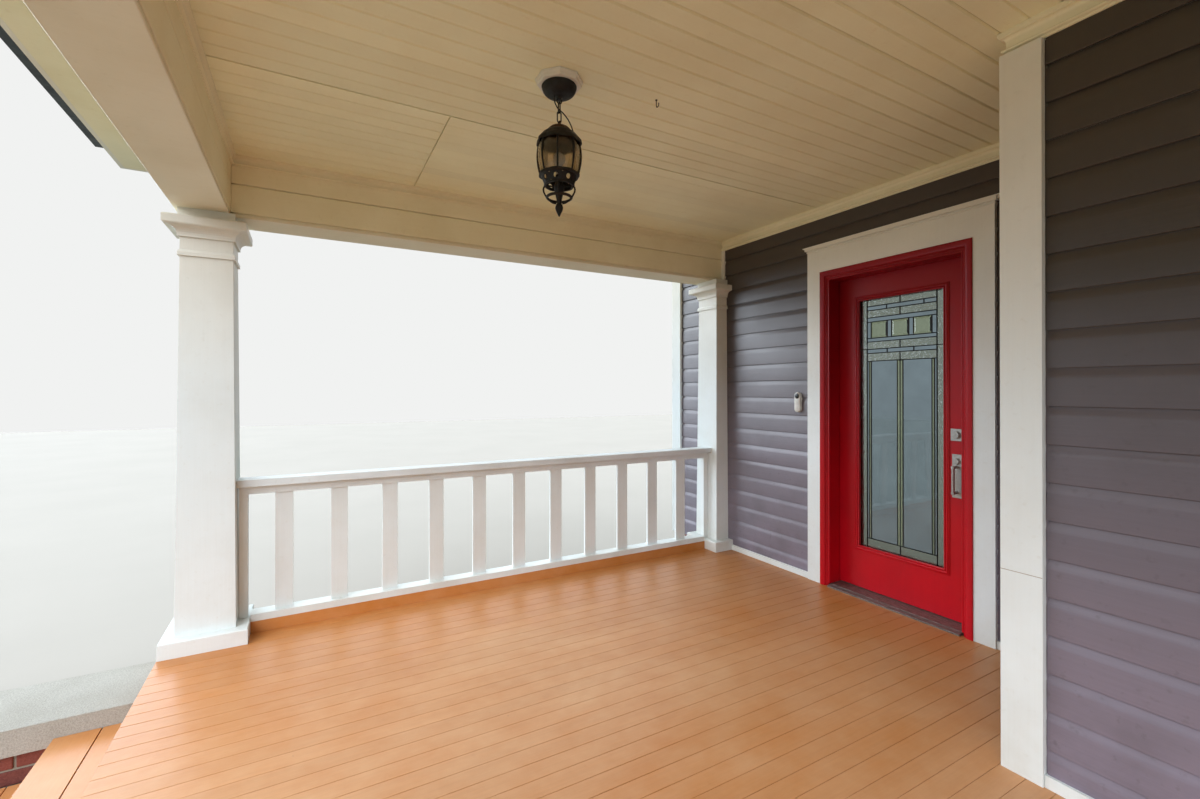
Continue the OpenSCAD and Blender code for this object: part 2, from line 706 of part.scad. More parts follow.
// The lamp's lead runs out of the canopy, through the upper link and down into the cap, all in the YZ plane
lead_d = 5;
lead_sides = 8;
lead_route = [
  [-22, 2455], [-21, 2444], [-17, 2433], [-10, 2422], [-1, 2413], [8, 2409], [17, 2404],
  [27, 2396], [38, 2385], [47, 2372], [55, 2357], [61, 2341], [64, 2324]
];
function unit(v) = v / norm(v);
function lead_way(i) = unit(lead_route[min(i + 1, len(lead_route) - 1)] - lead_route[max(i - 1, 0)]);
module lamp_lead() color("#1c1a18") place() translate([lamp_x, lamp_y, 0]) {
  m = lead_sides;
  last = len(lead_route) - 1;
  polyhedron(points = [for (i = [0:last], j = [0:m - 1])
    let (a = 360 * j / m, t = lead_way(i), side = lead_d / 2 * cos(a))
      [lead_d / 2 * sin(a), lead_route[i][0] - side * t[1], lead_route[i][1] + side * t[0]]],
    faces = concat(
      [[for (j = [0:m - 1]) j], [for (j = [m - 1:-1:0]) last * m + j]],
      [for (i = [0:last - 1], j = [0:m - 1])
        [i * m + j, (i + 1) * m + j, (i + 1) * m + (j + 1) % m, i * m + (j + 1) % m]]));
}

// Domed cap, glass body, cage and bulb hang together from the lower link
cap_rim_z = 2292;
glass_top_z = 2290;
glass_low_z = 2172;
ring_low_z = 2128;
tip_z = 1986;
module lantern_cap() color("#241f1a") place() translate([lamp_x, lamp_y, 0]) {
  ring_z = lamp_hook_z + 2 * hang_gap + link_wire - loop_r;
  top = ring_z - loop_r + 1;
  translate([0, 0, ring_z]) rotate([90, 0, 0]) ring(loop_r, link_wire);
  rotate_extrude($fn = 64) polygon(concat(
    [[0, top], [7, top], [9, top - 10], [20, top - 14]],
    [for (a = [75:-15:0]) [22 + 62 * cos(a), cap_rim_z + 4 + 34 * sin(a)]],
    [[84, cap_rim_z - 6], [80, cap_rim_z - 6]],
    [for (a = [0:15:75]) [20 + 58 * cos(a), cap_rim_z - 2 + 30 * sin(a)]],
    [[0, cap_rim_z + 30]]));
}

function belly(t) = 76 + 12 * sin(180 * t) - 8 * t;
module lantern_glass() color("goldenrod", 0.5) place() translate([lamp_x, lamp_y, 0]) {
  n = 8;
  h = glass_top_z - glass_low_z;
  rotate_extrude($fn = 64) polygon(concat(
    [for (i = [0:n]) [belly(i / n), glass_top_z - h * i / n]],
    [for (i = [n:-1:0]) [belly(i / n) - 4, glass_top_z - h * i / n]]));
}

module lantern_cage() color("#1c1a18") place() translate([lamp_x, lamp_y, 0]) {
  rotate_extrude($fn = 64) polygon([
    [64, glass_low_z], [77, glass_low_z], [77, glass_low_z - 12], [73, glass_low_z - 16],
    [73, ring_low_z + 8], [66, ring_low_z], [10, ring_low_z], [10, ring_low_z + 6],
    [62, ring_low_z + 6], [64, ring_low_z + 14]
  ]);
  rotate_extrude($fn = 40) polygon([
    [0, ring_low_z + 3], [10, ring_low_z + 3], [9, 2080], [12, 2064], [18, 2056], [18, 2044],
    [12, 2036], [8, 2030], [13, 2018], [9, 2004], [3, tip_z + 2], [0, tip_z]
  ]);
  for (a = [0:60:300]) rotate([0, 0, a]) translate([0, 2.5, 0]) rotate([90, 0, 0])
    linear_extrude(5) polygon(concat(
      [for (q = [0:18:180]) [38 + 22 * sin(q), 2090 + 34 * cos(q)]],
      [[14, 2052], [14, 2060]],
      [for (q = [180:-18:0]) [34 + 18 * sin(q), 2092 + 30 * cos(q)]]));
}

module lantern_bulb() color("white") place() translate([lamp_x, lamp_y, 0])
  rotate_extrude($fn = 40) polygon(concat(
    [[0, 2150], [13, 2150], [13, 2185]],
    [for (a = [-60:20:80]) [24 * cos(a), 2212 + 26 * sin(a)]],
    [[0, 2240]]));

porch_foundation();
house_foundation();
deck_frame();
deck();
cheek_walls();
cheek_caps();
step_treads();
risers();
stringers();
columns();
column_capitals();
column_bases();
railings();
rail_caps();
rail_shoes();
front_beam();
side_beams();
ceiling();
ceiling_crown();
eave_soffit();
fascia();
gutter();
roof();
roof_caps();
door_wall_left();
door_wall_right();
door_wall_over();
return_wall();
room_wall();
corner_boards();
wall_strips();
door_casing();
door_frame();
threshold();
door();
door_glass();
door_hardware();
door_hinges();
jamb_hinges();
doorbell();
lantern_block();
lantern_canopy();
lantern_chain();
lamp_lead();
lantern_cap();
lantern_glass();
lantern_cage();
lantern_bulb();
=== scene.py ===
import math

import bmesh
import bpy
from mathutils import Matrix, Vector


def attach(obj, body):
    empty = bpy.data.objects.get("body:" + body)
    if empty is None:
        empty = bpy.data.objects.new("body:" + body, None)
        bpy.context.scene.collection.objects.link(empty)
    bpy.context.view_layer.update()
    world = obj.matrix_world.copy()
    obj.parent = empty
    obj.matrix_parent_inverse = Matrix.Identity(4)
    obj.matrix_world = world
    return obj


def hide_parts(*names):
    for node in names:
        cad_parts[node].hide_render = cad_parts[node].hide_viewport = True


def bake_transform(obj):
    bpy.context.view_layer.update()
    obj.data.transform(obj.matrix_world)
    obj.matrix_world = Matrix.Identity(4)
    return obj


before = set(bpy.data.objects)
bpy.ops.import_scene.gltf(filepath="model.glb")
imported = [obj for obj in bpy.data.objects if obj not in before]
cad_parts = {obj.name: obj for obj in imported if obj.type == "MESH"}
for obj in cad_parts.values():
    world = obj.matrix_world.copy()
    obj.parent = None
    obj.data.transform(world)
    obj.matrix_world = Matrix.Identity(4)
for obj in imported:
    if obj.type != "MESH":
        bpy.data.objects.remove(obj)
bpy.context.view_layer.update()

# Lengths are in millimetres from the left column's centre on the deck, as in the part's source.
# PLACE takes them to metres in the row's frame.
PLACE = Matrix.Translation((-2.7, -1.394, 0.45)) @ Matrix.Scale(0.001, 4)
DECK_LEFT, DECK_FRONT, DECK_RIGHT = -184, -184, 5584
DOOR_WALL, ROOM_WALL, ROOM_SIDE = 3478, 2565, 2506
WALL_T = 146
WALL_BACK, ROOM_BACK, RETURN_BACK = DOOR_WALL + WALL_T, ROOM_WALL + WALL_T, ROOM_SIDE + WALL_T
RIGHT_COLUMN = 5400
CEILING, BEAM, SOFFIT = 2531, 2207, 2540
GROUND = -450
DOOR_MIDDLE = 1496


def linear(colour):
    """An sRGB colour such as 'B9713E' as the linear values that a socket takes."""
    parts = [int(colour[i:i + 2], 16) / 255 for i in (0, 2, 4)]
    return [p / 12.92 if p <= 0.04045 else ((p + 0.055) / 1.055) ** 2.4 for p in parts] + [1.0]


def add(tree, kind, sockets=None, **settings):
    """Adds a node to a tree. Sockets, by name or number, are set to a value or linked from another node."""
    node = tree.nodes.new(kind)
    for name, value in settings.items():
        setattr(node, name, value)
    for name, value in (sockets or {}).items():
        if isinstance(value, bpy.types.NodeSocket):
            tree.links.new(value, node.inputs[name])
        else:
            node.inputs[name].default_value = value
    return node


# Repeating pieces: one tree sets copies of a piece along X in rows up Z.

def courses_tree():
    """Rows of a piece with a stagger, a slip and turn of each copy at random, and a shade stored on each."""
    tree = bpy.data.node_groups.new("courses", "GeometryNodeTree")
    for name, kind in (("Piece", "Object"), ("Along", "Int"), ("Rows", "Int"), ("Pitch", "Float"),
                       ("Rise", "Float"), ("Stagger", "Float"), ("First Odd", "Int"), ("Short", "Int"),
                       ("Shift", "Vector"), ("Turn", "Float"), ("Round", "Float"), ("Seed", "Int"),
                       ("Finish", "Material")):
        tree.interface.new_socket(name=name, in_out="INPUT", socket_type="NodeSocket" + kind)
    tree.interface.new_socket(name="Geometry", in_out="OUTPUT", socket_type="NodeSocketGeometry")
    given = add(tree, "NodeGroupInput").outputs
    index = add(tree, "GeometryNodeInputIndex").outputs[0]
    total = add(tree, "ShaderNodeMath", {0: given["Along"], 1: given["Rows"]},
                operation="MULTIPLY").outputs[0]
    column = add(tree, "ShaderNodeMath", {0: index, 1: given["Along"]}, operation="MODULO").outputs[0]
    ratio = add(tree, "ShaderNodeMath", {0: index, 1: given["Along"]}, operation="DIVIDE").outputs[0]
    row = add(tree, "ShaderNodeMath", {0: ratio}, operation="FLOOR").outputs[0]
    counted = add(tree, "ShaderNodeMath", {0: row, 1: given["First Odd"]}, operation="ADD").outputs[0]
    odd = add(tree, "ShaderNodeMath", {0: counted, 1: 2.0}, operation="MODULO").outputs[0]
    slid = add(tree, "ShaderNodeMath", {0: odd, 1: given["Stagger"], 2: column},
               operation="MULTIPLY_ADD").outputs[0]
    u = add(tree, "ShaderNodeMath", {0: slid, 1: given["Pitch"]}, operation="MULTIPLY").outputs[0]
    v = add(tree, "ShaderNodeMath", {0: row, 1: given["Rise"]}, operation="MULTIPLY").outputs[0]
    spot = add(tree, "ShaderNodeCombineXYZ", {0: u, 2: v}).outputs[0]
    low = add(tree, "ShaderNodeVectorMath", {0: given["Shift"], "Scale": -1.0}, operation="SCALE").outputs[0]
    shift = add(tree, "FunctionNodeRandomValue", {0: low, 1: given["Shift"], "Seed": given["Seed"]},
                data_type="FLOAT_VECTOR").outputs[0]
    moved = add(tree, "ShaderNodeVectorMath", {0: spot, 1: shift}, operation="ADD").outputs[0]
    points = add(tree, "GeometryNodePoints", {"Count": total}).outputs[0]
    placed = add(tree, "GeometryNodeSetPosition", {"Geometry": points, "Position": moved}).outputs[0]
    before_last = add(tree, "ShaderNodeMath", {0: given["Along"], 1: -1.5}, operation="ADD").outputs[0]
    at_end = add(tree, "ShaderNodeMath", {0: column, 1: before_last}, operation="GREATER_THAN").outputs[0]
    left_over = add(tree, "ShaderNodeMath", {0: at_end, 1: odd}, operation="MULTIPLY").outputs[0]
    left_over = add(tree, "ShaderNodeMath", {0: left_over, 1: given["Short"]},
                    operation="MULTIPLY").outputs[0]
    placed = add(tree, "GeometryNodeDeleteGeometry", {"Geometry": placed, "Selection": left_over},
                 domain="POINT").outputs[0]
    back = add(tree, "ShaderNodeMath", {0: given["Turn"], 1: -1.0}, operation="MULTIPLY").outputs[0]
    least = add(tree, "ShaderNodeCombineXYZ", {0: back, 1: back, 2: back}).outputs[0]
    most = add(tree, "ShaderNodeCombineXYZ",
               {0: given["Turn"], 1: given["Turn"], 2: given["Turn"]}).outputs[0]
    next_seed = add(tree, "ShaderNodeMath", {0: given["Seed"], 1: 7.0}, operation="ADD").outputs[0]
    turned = add(tree, "FunctionNodeRandomValue", {0: least, 1: most, "Seed": next_seed},
                 data_type="FLOAT_VECTOR").outputs[0]
    circled = add(tree, "ShaderNodeMath", {0: column, 1: given["Round"]}, operation="MULTIPLY").outputs[0]
    spun = add(tree, "ShaderNodeCombineXYZ", {2: circled}).outputs[0]
    turned = add(tree, "ShaderNodeVectorMath", {0: turned, 1: spun}, operation="ADD").outputs[0]
    piece = add(tree, "GeometryNodeObjectInfo", {"Object": given["Piece"]}).outputs["Geometry"]
    copies = add(tree, "GeometryNodeInstanceOnPoints",
                 {"Points": placed, "Instance": piece, "Rotation": turned}).outputs[0]
    shade = add(tree, "FunctionNodeRandomValue", {2: 0.0, 3: 1.0, "Seed": given["Seed"]},
                data_type="FLOAT").outputs[1]
    marked = add(tree, "GeometryNodeStoreNamedAttribute",
                 {"Geometry": copies, "Name": "shade", "Value": shade},
                 data_type="FLOAT", domain="INSTANCE").outputs[0]
    real = add(tree, "GeometryNodeRealizeInstances", {"Geometry": marked}).outputs[0]
    finished = add(tree, "GeometryNodeSetMaterial",
                   {"Geometry": real, "Material": given["Finish"]}).outputs[0]
    add(tree, "NodeGroupOutput", {0: finished})
    return tree


COURSES = courses_tree()


class Shape:
    """Closed solids gathered into one mesh, in millimetres."""

    def __init__(self):
        self.mesh = bmesh.new()

    def block(self, low, high, edge=1.0):
        """A box with eased edges."""
        made = bmesh.ops.create_cube(self.mesh, size=1.0)["verts"]
        for vert in made:
            vert.co = Vector((high[i] if vert.co[i] > 0 else low[i]) for i in range(3))
        if edge:
            edges = list(dict.fromkeys(e for vert in made for e in vert.link_edges))
            bmesh.ops.bevel(self.mesh, geom=edges, offset=edge, segments=1, profile=0.5, affect="EDGES")
        return self

    def sweep(self, profile, path, depth, closed=False):
        """A moulding along a mitred path. A profile point is (to the left of the path, along depth)."""
        depth = Vector(depth)
        path = [Vector(p) for p in path]
        last = len(path) - 1
        rings = []
        for i, here in enumerate(path):
            lefts = []
            if closed or i > 0:
                lefts.append(depth.cross((here - path[i - 1]).normalized()))
            if closed or i < last:
                lefts.append(depth.cross((path[(i + 1) % len(path)] - here).normalized()))
            left = lefts[0] if len(lefts) == 1 else (lefts[0] + lefts[1]) / (1 + lefts[0].dot(lefts[1]))
            rings.append([self.mesh.verts.new(here + left * a + depth * b) for a, b in profile])
        for one, two in zip(rings, rings[1:] + rings[:1] if closed else rings[1:]):
            for j in range(len(profile)):
                k = (j + 1) % len(profile)
                self.mesh.faces.new((one[j], one[k], two[k], two[j]))
        if not closed:
            self.mesh.faces.new(rings[0])
            self.mesh.faces.new(rings[-1][::-1])
        return self

    def turn(self, profile, sides, ripple=None, centre=(0, 0, 0), axis="Z"):
        """A solid turned about Z or Y from (radius, height) points. Ripple scales the radius at an angle."""
        swap = Matrix.Rotation(math.pi / 2, 4, "X") if axis == "Y" else Matrix.Identity(4)
        place = Matrix.Translation(centre) @ swap
        rings = []
        for radius, height in profile:
            if radius == 0:
                rings.append([self.mesh.verts.new(place @ Vector((0, 0, height)))])
                continue
            ring = []
            for i in range(sides):
                angle = 2 * math.pi * i / sides
                r = radius * (ripple(angle, height) if ripple else 1)
                spot = Vector((r * math.cos(angle), r * math.sin(angle), height))
                ring.append(self.mesh.verts.new(place @ spot))
            rings.append(ring)
        shut = len(rings[0]) > 1 and len(rings[-1]) > 1
        for one, two in zip(rings, rings[1:] + rings[:1] if shut else rings[1:]):
            for j in range(sides):
                k = (j + 1) % sides
                corners = [one[j % len(one)], one[k % len(one)], two[k % len(two)], two[j % len(two)]]
                self.mesh.faces.new(list(dict.fromkeys(corners)))
        return self

    def tube(self, path, radius, sides=10, closed=False):
        """A round bar along a smooth path."""
        path = [Vector(p) for p in path]
        count = len(path)
        side = None
        rings = []
        for i, here in enumerate(path):
            ahead = path[(i + 1) % count] if closed or i < count - 1 else here
            behind = path[i - 1] if closed or i > 0 else here
            along = (ahead - behind).normalized()
            if side is None:
                side = along.orthogonal().normalized()
            side = (side - along * side.dot(along)).normalized()
            up = along.cross(side)
            rings.append([self.mesh.verts.new(here + side * radius * math.cos(a) + up * radius * math.sin(a))
                          for a in (2 * math.pi * j / sides for j in range(sides))])
        for one, two in zip(rings, rings[1:] + rings[:1] if closed else rings[1:]):
            for j in range(sides):
                k = (j + 1) % sides
                self.mesh.faces.new((one[j], one[k], two[k], two[j]))
        if not closed:
            self.mesh.faces.new(rings[0][::-1])
            self.mesh.faces.new(rings[-1])
        return self

    def rows(self, piece, finish, place=Matrix.Identity(4), along=1, rows=1, pitch=0.0, rise=0.0,
             stagger=0.0, first_odd=0, short=0, shift=(0, 0, 0), turn=0.0, round=0.0, seed=1, trims=()):
        """Copies of another shape in rows, cut off at the trims, each a point and an outward direction."""
        source = piece.stock("piece")
        holder = bpy.data.objects.new("rows", bpy.data.meshes.new("rows"))
        bpy.context.collection.objects.link(holder)
        modifier = holder.modifiers.new("courses", "NODES")
        modifier.node_group = COURSES
        given = {"Piece": source, "Along": along, "Rows": rows, "Pitch": float(pitch), "Rise": float(rise),
                 "Stagger": float(stagger), "First Odd": first_odd, "Short": short, "Shift": shift,
                 "Turn": float(turn), "Round": float(round), "Seed": seed, "Finish": finish}
        for socket in COURSES.interface.items_tree:
            if socket.in_out == "INPUT":
                modifier[socket.identifier] = given[socket.name]
        graph = bpy.context.evaluated_depsgraph_get()
        made = bpy.data.meshes.new_from_object(holder.evaluated_get(graph), preserve_all_data_layers=True,
                                               depsgraph=graph)
        made.materials.clear()
        made.transform(place)
        holder.modifiers.clear()
        for spare in (holder, source):
            bpy.data.objects.remove(spare)
        if trims:
            part = bmesh.new()
            part.from_mesh(made)
            for point, outward in trims:
                whole = part.verts[:] + part.edges[:] + part.faces[:]
                edge = bmesh.ops.bisect_plane(part, geom=whole, plane_co=point, plane_no=outward,
                                              clear_outer=True)
                rim = [e for e in edge["geom_cut"] if isinstance(e, bmesh.types.BMEdge)]
                bmesh.ops.holes_fill(part, edges=rim)
            part.to_mesh(made)
            part.free()
        self.mesh.from_mesh(made)
        bpy.data.meshes.remove(made)
        return self

    def stock(self, name):
        """A plain object of this shape, still in millimetres."""
        mesh = bpy.data.meshes.new(name)
        bmesh.ops.recalc_face_normals(self.mesh, faces=self.mesh.faces[:])
        self.mesh.to_mesh(mesh)
        made = bpy.data.objects.new(name, mesh)
        bpy.context.collection.objects.link(made)
        return made

    def make(self, name, finish, slot, body="porch", replaces=(), soft=35):
        """The finished piece on its body. A body given as (upper, lower, start, end) only has its place baked
        in; the piece is not attached and does not bend.
        """
        made = self.stock(name)
        made.data.transform(PLACE)
        made.data.materials.append(finish)
        if soft:
            made.data.shade_smooth()
            made.data.set_sharp_from_angle(angle=math.radians(soft))
        else:
            made.data.shade_flat()
        if isinstance(body, str):
            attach(made, body)
        else:
            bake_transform(made)
        if replaces:
            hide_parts(*replaces)
        return made


# Finishes

def start(name, rough, metal=0.0, **more):
    """A new material: its tree, its shader and the object coordinates in metres."""
    material = bpy.data.materials.new(name)
    material.use_nodes = True
    tree = material.node_tree
    shader = tree.nodes["Principled BSDF"]
    shader.inputs["Roughness"].default_value = rough
    shader.inputs["Metallic"].default_value = metal
    for socket, value in more.items():
        shader.inputs[socket.replace("_", " ")].default_value = value
    return material, tree, shader, add(tree, "ShaderNodeTexCoord").outputs["Object"]


def speckle(tree, where, scale, low, high, detail=4.0, stretch=None, rough=0.55):
    """Noise of a number of specks a metre, so 40 is one each 25 mm, spread from low to high over 0 to 1."""
    if stretch:
        where = add(tree, "ShaderNodeMapping", {"Vector": where, "Scale": stretch}).outputs[0]
    cloud = add(tree, "ShaderNodeTexNoise", {"Vector": where, "Scale": scale, "Detail": detail,
                                             "Roughness": rough}).outputs[0]
    return add(tree, "ShaderNodeMapRange", {"Value": cloud, "From Min": low, "From Max": high}).outputs[0]


def painted(name, colour, grime, along, rough, deep=0.35, edge=1.5, foot=None, board=0.0, painted_light_fade=None,
            specular=0.5):
    """Brushed paint on planed boards: streaks along the grain, grime in broad patches and on the eased edges.

    Deep is how strong the grime is, edge how far in millimetres an edge looks eased, foot the heights in
    metres between which grime thickens downwards, and board the spread of tone from board to board. The
    colour fade is painted light and shade up the surface: a second colour and the heights from which and to
    which it fades in.
    """
    material, tree, shader, where = start(name, rough, Specular_IOR_Level=specular)
    # Brush streaks are 9 mm apart and 250 mm long, coarser than real bristle marks so that they show.
    # Grime comes in patches some 430 mm across and specks 26 mm apart.
    stretch = {"x": (4, 110, 110), "y": (110, 4, 110), "z": (110, 110, 4)}[along]
    streaks = speckle(tree, where, 1.0, 0.3, 0.7, 3.0, stretch)
    patches = speckle(tree, where, 2.3, 0.42, 0.75, 6.0)
    specks = speckle(tree, where, 38.0, 0.62, 0.78, 3.0)
    dirt = add(tree, "ShaderNodeMath", {0: patches, 1: 0.55}, operation="MULTIPLY").outputs[0]
    dirt = add(tree, "ShaderNodeMath", {0: streaks, 1: 0.09, 2: dirt}, operation="MULTIPLY_ADD").outputs[0]
    dirt = add(tree, "ShaderNodeMath", {0: specks, 1: 0.3, 2: dirt}, operation="MULTIPLY_ADD").outputs[0]
    rounded = add(tree, "ShaderNodeBevel", {"Radius": edge / 1000}, samples=4).outputs[0]
    flat = add(tree, "ShaderNodeNewGeometry").outputs["True Normal"]
    square = add(tree, "ShaderNodeVectorMath", {0: rounded, 1: flat},
                 operation="DOT_PRODUCT").outputs["Value"]
    rub = add(tree, "ShaderNodeMapRange", {"Value": square, "From Min": 0.995, "From Max": 0.8,
                                           "To Max": 0.7}).outputs[0]
    dirt = add(tree, "ShaderNodeMath", {0: rub, 1: specks, 2: dirt}, operation="MULTIPLY_ADD").outputs[0]
    height = add(tree, "ShaderNodeSeparateXYZ", {0: where}).outputs[2]
    if foot:
        low = add(tree, "ShaderNodeMapRange", {"Value": height, "From Min": foot[1], "From Max": foot[0],
                                               "To Max": 0.8}).outputs[0]
        dirt = add(tree, "ShaderNodeMath", {0: low, 1: patches, 2: dirt}, operation="MULTIPLY_ADD").outputs[0]
    dirt = add(tree, "ShaderNodeMath", {0: dirt, 1: deep * 2}, operation="MULTIPLY",
               use_clamp=True).outputs[0]
    shade = add(tree, "ShaderNodeAttribute", attribute_name="shade").outputs["Fac"]
    tone = add(tree, "ShaderNodeMath", {0: shade, 1: -board, 2: 1.0 + board / 2},
               operation="MULTIPLY_ADD").outputs[0]
    clean = linear(colour)
    # Painted light and shade: the colour fades to a second one by height.
    if painted_light_fade:
        painted_light_share = add(tree, "ShaderNodeMapRange", {"Value": height, "From Min": painted_light_fade[1],
                                                 "From Max": painted_light_fade[2]}).outputs[0]
        clean = add(tree, "ShaderNodeMix", {0: painted_light_share, 6: clean, 7: linear(painted_light_fade[0])},
                    data_type="RGBA").outputs[2]
    base = add(tree, "ShaderNodeMix", {0: dirt, 6: clean, 7: linear(grime)}, data_type="RGBA").outputs[2]
    toned = add(tree, "ShaderNodeVectorMath", {0: base, "Scale": tone}, operation="SCALE").outputs[0]
    bump = add(tree, "ShaderNodeBump", {"Height": streaks, "Strength": 0.25, "Distance": 0.0006,
                                        "Normal": rounded}).outputs[0]
    tree.links.new(toned, shader.inputs["Base Color"])
    tree.links.new(bump, shader.inputs["Normal"])
    gloss = add(tree, "ShaderNodeMapRange", {"Value": dirt, "To Min": rough,
                                             "To Max": min(1, rough + 0.25)}).outputs[0]
    tree.links.new(gloss, shader.inputs["Roughness"])
    return material


# Satin off-white on columns, rails, casing and corner boards, warmer high up as painted shade and
# paler and cooler near the deck as painted light.
WHITE = painted("trim_white_paint", "EFEADC", "C4BFB0", "z", 0.42, 0.26, 1.6, foot=(0.45, 0.7),
                painted_light_fade=("E9F0F1", 2.75, 1.7))
# The same paint on lengths that run front to back, such as rail caps, in the cooler colour that the white
# has low down as painted light.
WHITE_RAIL = painted("rail_white_paint", "E7EEF1", "B9B8AE", "y", 0.40, 0.33, 2.2)
# A warmer cream on the undersides of the beams.
CREAM = painted("beam_cream_paint", "F3E9CF", "D5C7A2", "y", 0.45, 0.33, 2.2)
# Flat warm beige on ceiling boards, uneven between boards, with darker blotches.
BEIGE = painted("ceiling_beige_paint", "FAF5D0", "E4D4A6", "y", 0.5, 0.32, 0.8, board=0.07)
# The same beige on beams, crowns and eaves, a little yellower and more even.
BEIGE_BEAM = painted("beam_beige_paint", "F8EFCE", "DAC997", "y", 0.48, 0.34, 2.0)
# Dark mauve-grey lap boards with a sheen and faint runs, dark and brown high up as painted shade under the
# roof and paler low down as painted light; the room's copy is darker and browner, a painted-shade copy.
SIDING, SIDING_ROOM_SHADED, SIDING_SIDE = (
    painted(name, colour, grime, along, 0.36, 0.4, 0.2, foot=(0.42, 0.62), board=0.06, painted_light_fade=painted_light_fade,
            specular=0.7)
    for name, colour, grime, along, painted_light_fade in (
        ("siding_grey_paint", "423935", "40383A", "x", ("837A88", 2.5, 0.6)),
        ("siding_room_shaded_paint", "3A322B", "3A3231", "x", ("857C8C", 2.1, 0.6)),
        ("siding_side_paint", "423935", "40383A", "y", ("837A88", 2.5, 0.6))))
# Glossy deep red on the door and its frame, darker at the head as painted shade and brighter low down
# as painted light.
RED = painted("door_red_paint", "950614", "6A0610", "z", 0.3, 0.3, 1.2, painted_light_fade=("C80A1E", 2.4, 0.5),
              specular=0.3)
# Plain plaster on the walls' inner side.
PLASTER = painted("wall_plaster", "DCD8CE", "BDB8AC", "z", 0.8, 0.4, 1.0)


def floor_finish(name, along):
    """Glossy orange-tan deck enamel: a dull pale film where feet pass, fine grain, few chips and scuffs."""
    material, tree, shader, where = start(name, 0.36, Specular_IOR_Level=0.3)
    stretch = {"x": (0.75, 1, 1), "y": (1, 0.75, 1)}[along]
    long = add(tree, "ShaderNodeMapping", {"Vector": where, "Scale": stretch}).outputs[0]
    # The film lies in patches some 700 mm across, broken up by clouds of 110 mm. It thins out to the left and
    # towards the house, where nobody walks.
    film = speckle(tree, long, 1.4, 0.32, 0.72, 4.0)
    cloud = speckle(tree, long, 9.0, 0.3, 0.7, 6.0, rough=0.65)
    wear = add(tree, "ShaderNodeMath", {0: cloud, 1: 0.22, 2: -0.11}, operation="MULTIPLY_ADD").outputs[0]
    across = add(tree, "ShaderNodeSeparateXYZ", {0: where}).outputs
    walked = add(tree, "ShaderNodeMapRange", {"Value": across[0], "From Min": -2.7, "From Max": -1.3,
                                              "To Min": 0.25}).outputs[0]
    edge = add(tree, "ShaderNodeMapRange", {"Value": across[1], "From Min": 2.2, "From Max": 0.4,
                                            "To Min": 0.35}).outputs[0]
    walked = add(tree, "ShaderNodeMath", {0: walked, 1: edge}, operation="MULTIPLY").outputs[0]
    film = add(tree, "ShaderNodeMath", {0: film, 1: 0.75, 2: 0.2}, operation="MULTIPLY_ADD").outputs[0]
    film = add(tree, "ShaderNodeMath", {0: film, 1: walked}, operation="MULTIPLY").outputs[0]
    wear = add(tree, "ShaderNodeMath", {0: film, 1: wear}, operation="ADD", use_clamp=True).outputs[0]
    # Grain lines are 7 mm apart and 200 mm long, coarser than the wood's own so that they show. Chips lie
    # some 33 mm apart in the few spots that have them, and scuffs 250 mm.
    grain = speckle(tree, where, 1.0, 0.25, 0.75, 4.0, {"x": (5, 150, 150), "y": (150, 5, 150)}[along])
    chips = speckle(tree, where, 30.0, 0.71, 0.75, 6.0, rough=0.7)
    scuffs = speckle(tree, where, 4.0, 0.6, 0.8, 9.0, rough=0.75)
    shade = add(tree, "ShaderNodeAttribute", attribute_name="shade").outputs["Fac"]
    tone = add(tree, "ShaderNodeMath", {0: shade, 1: -0.06, 2: 0.72}, operation="MULTIPLY_ADD").outputs[0]
    # Edge also darkens the tone towards the house: painted shade deeper under the roof.
    for pattern, share in ((grain, 0.07), (edge, 0.28)):
        tone = add(tree, "ShaderNodeMath", {0: pattern, 1: share, 2: tone},
                   operation="MULTIPLY_ADD").outputs[0]
    coat = add(tree, "ShaderNodeMix", {0: wear, 6: linear("C37A36"), 7: linear("DCAF86")},
               data_type="RGBA").outputs[2]
    for pattern, share, colour in ((scuffs, 0.22, "94592E"), (chips, 0.6, "6B4A38")):
        part = add(tree, "ShaderNodeMath", {0: pattern, 1: share}, operation="MULTIPLY").outputs[0]
        coat = add(tree, "ShaderNodeMix", {0: part, 6: coat, 7: linear(colour)}, data_type="RGBA").outputs[2]
    coat = add(tree, "ShaderNodeVectorMath", {0: coat, "Scale": tone}, operation="SCALE").outputs[0]
    tree.links.new(coat, shader.inputs["Base Color"])
    gloss = add(tree, "ShaderNodeMapRange", {"Value": wear, "To Min": 0.32, "To Max": 0.5}).outputs[0]
    tree.links.new(gloss, shader.inputs["Roughness"])
    rounded = add(tree, "ShaderNodeBevel", {"Radius": 0.002}, samples=4).outputs[0]
    bump = add(tree, "ShaderNodeBump", {"Height": grain, "Strength": 0.3, "Distance": 0.0006,
                                        "Normal": rounded}).outputs[0]
    bump = add(tree, "ShaderNodeBump", {"Height": chips, "Strength": 0.4, "Distance": 0.0006, "Normal": bump},
               invert=True).outputs[0]
    tree.links.new(bump, shader.inputs["Normal"])
    return material


# Worn orange-tan enamel, on the deck boards and, turned, on the steps.
FLOOR = floor_finish("deck_enamel", "y")
TREAD = floor_finish("tread_enamel", "x")


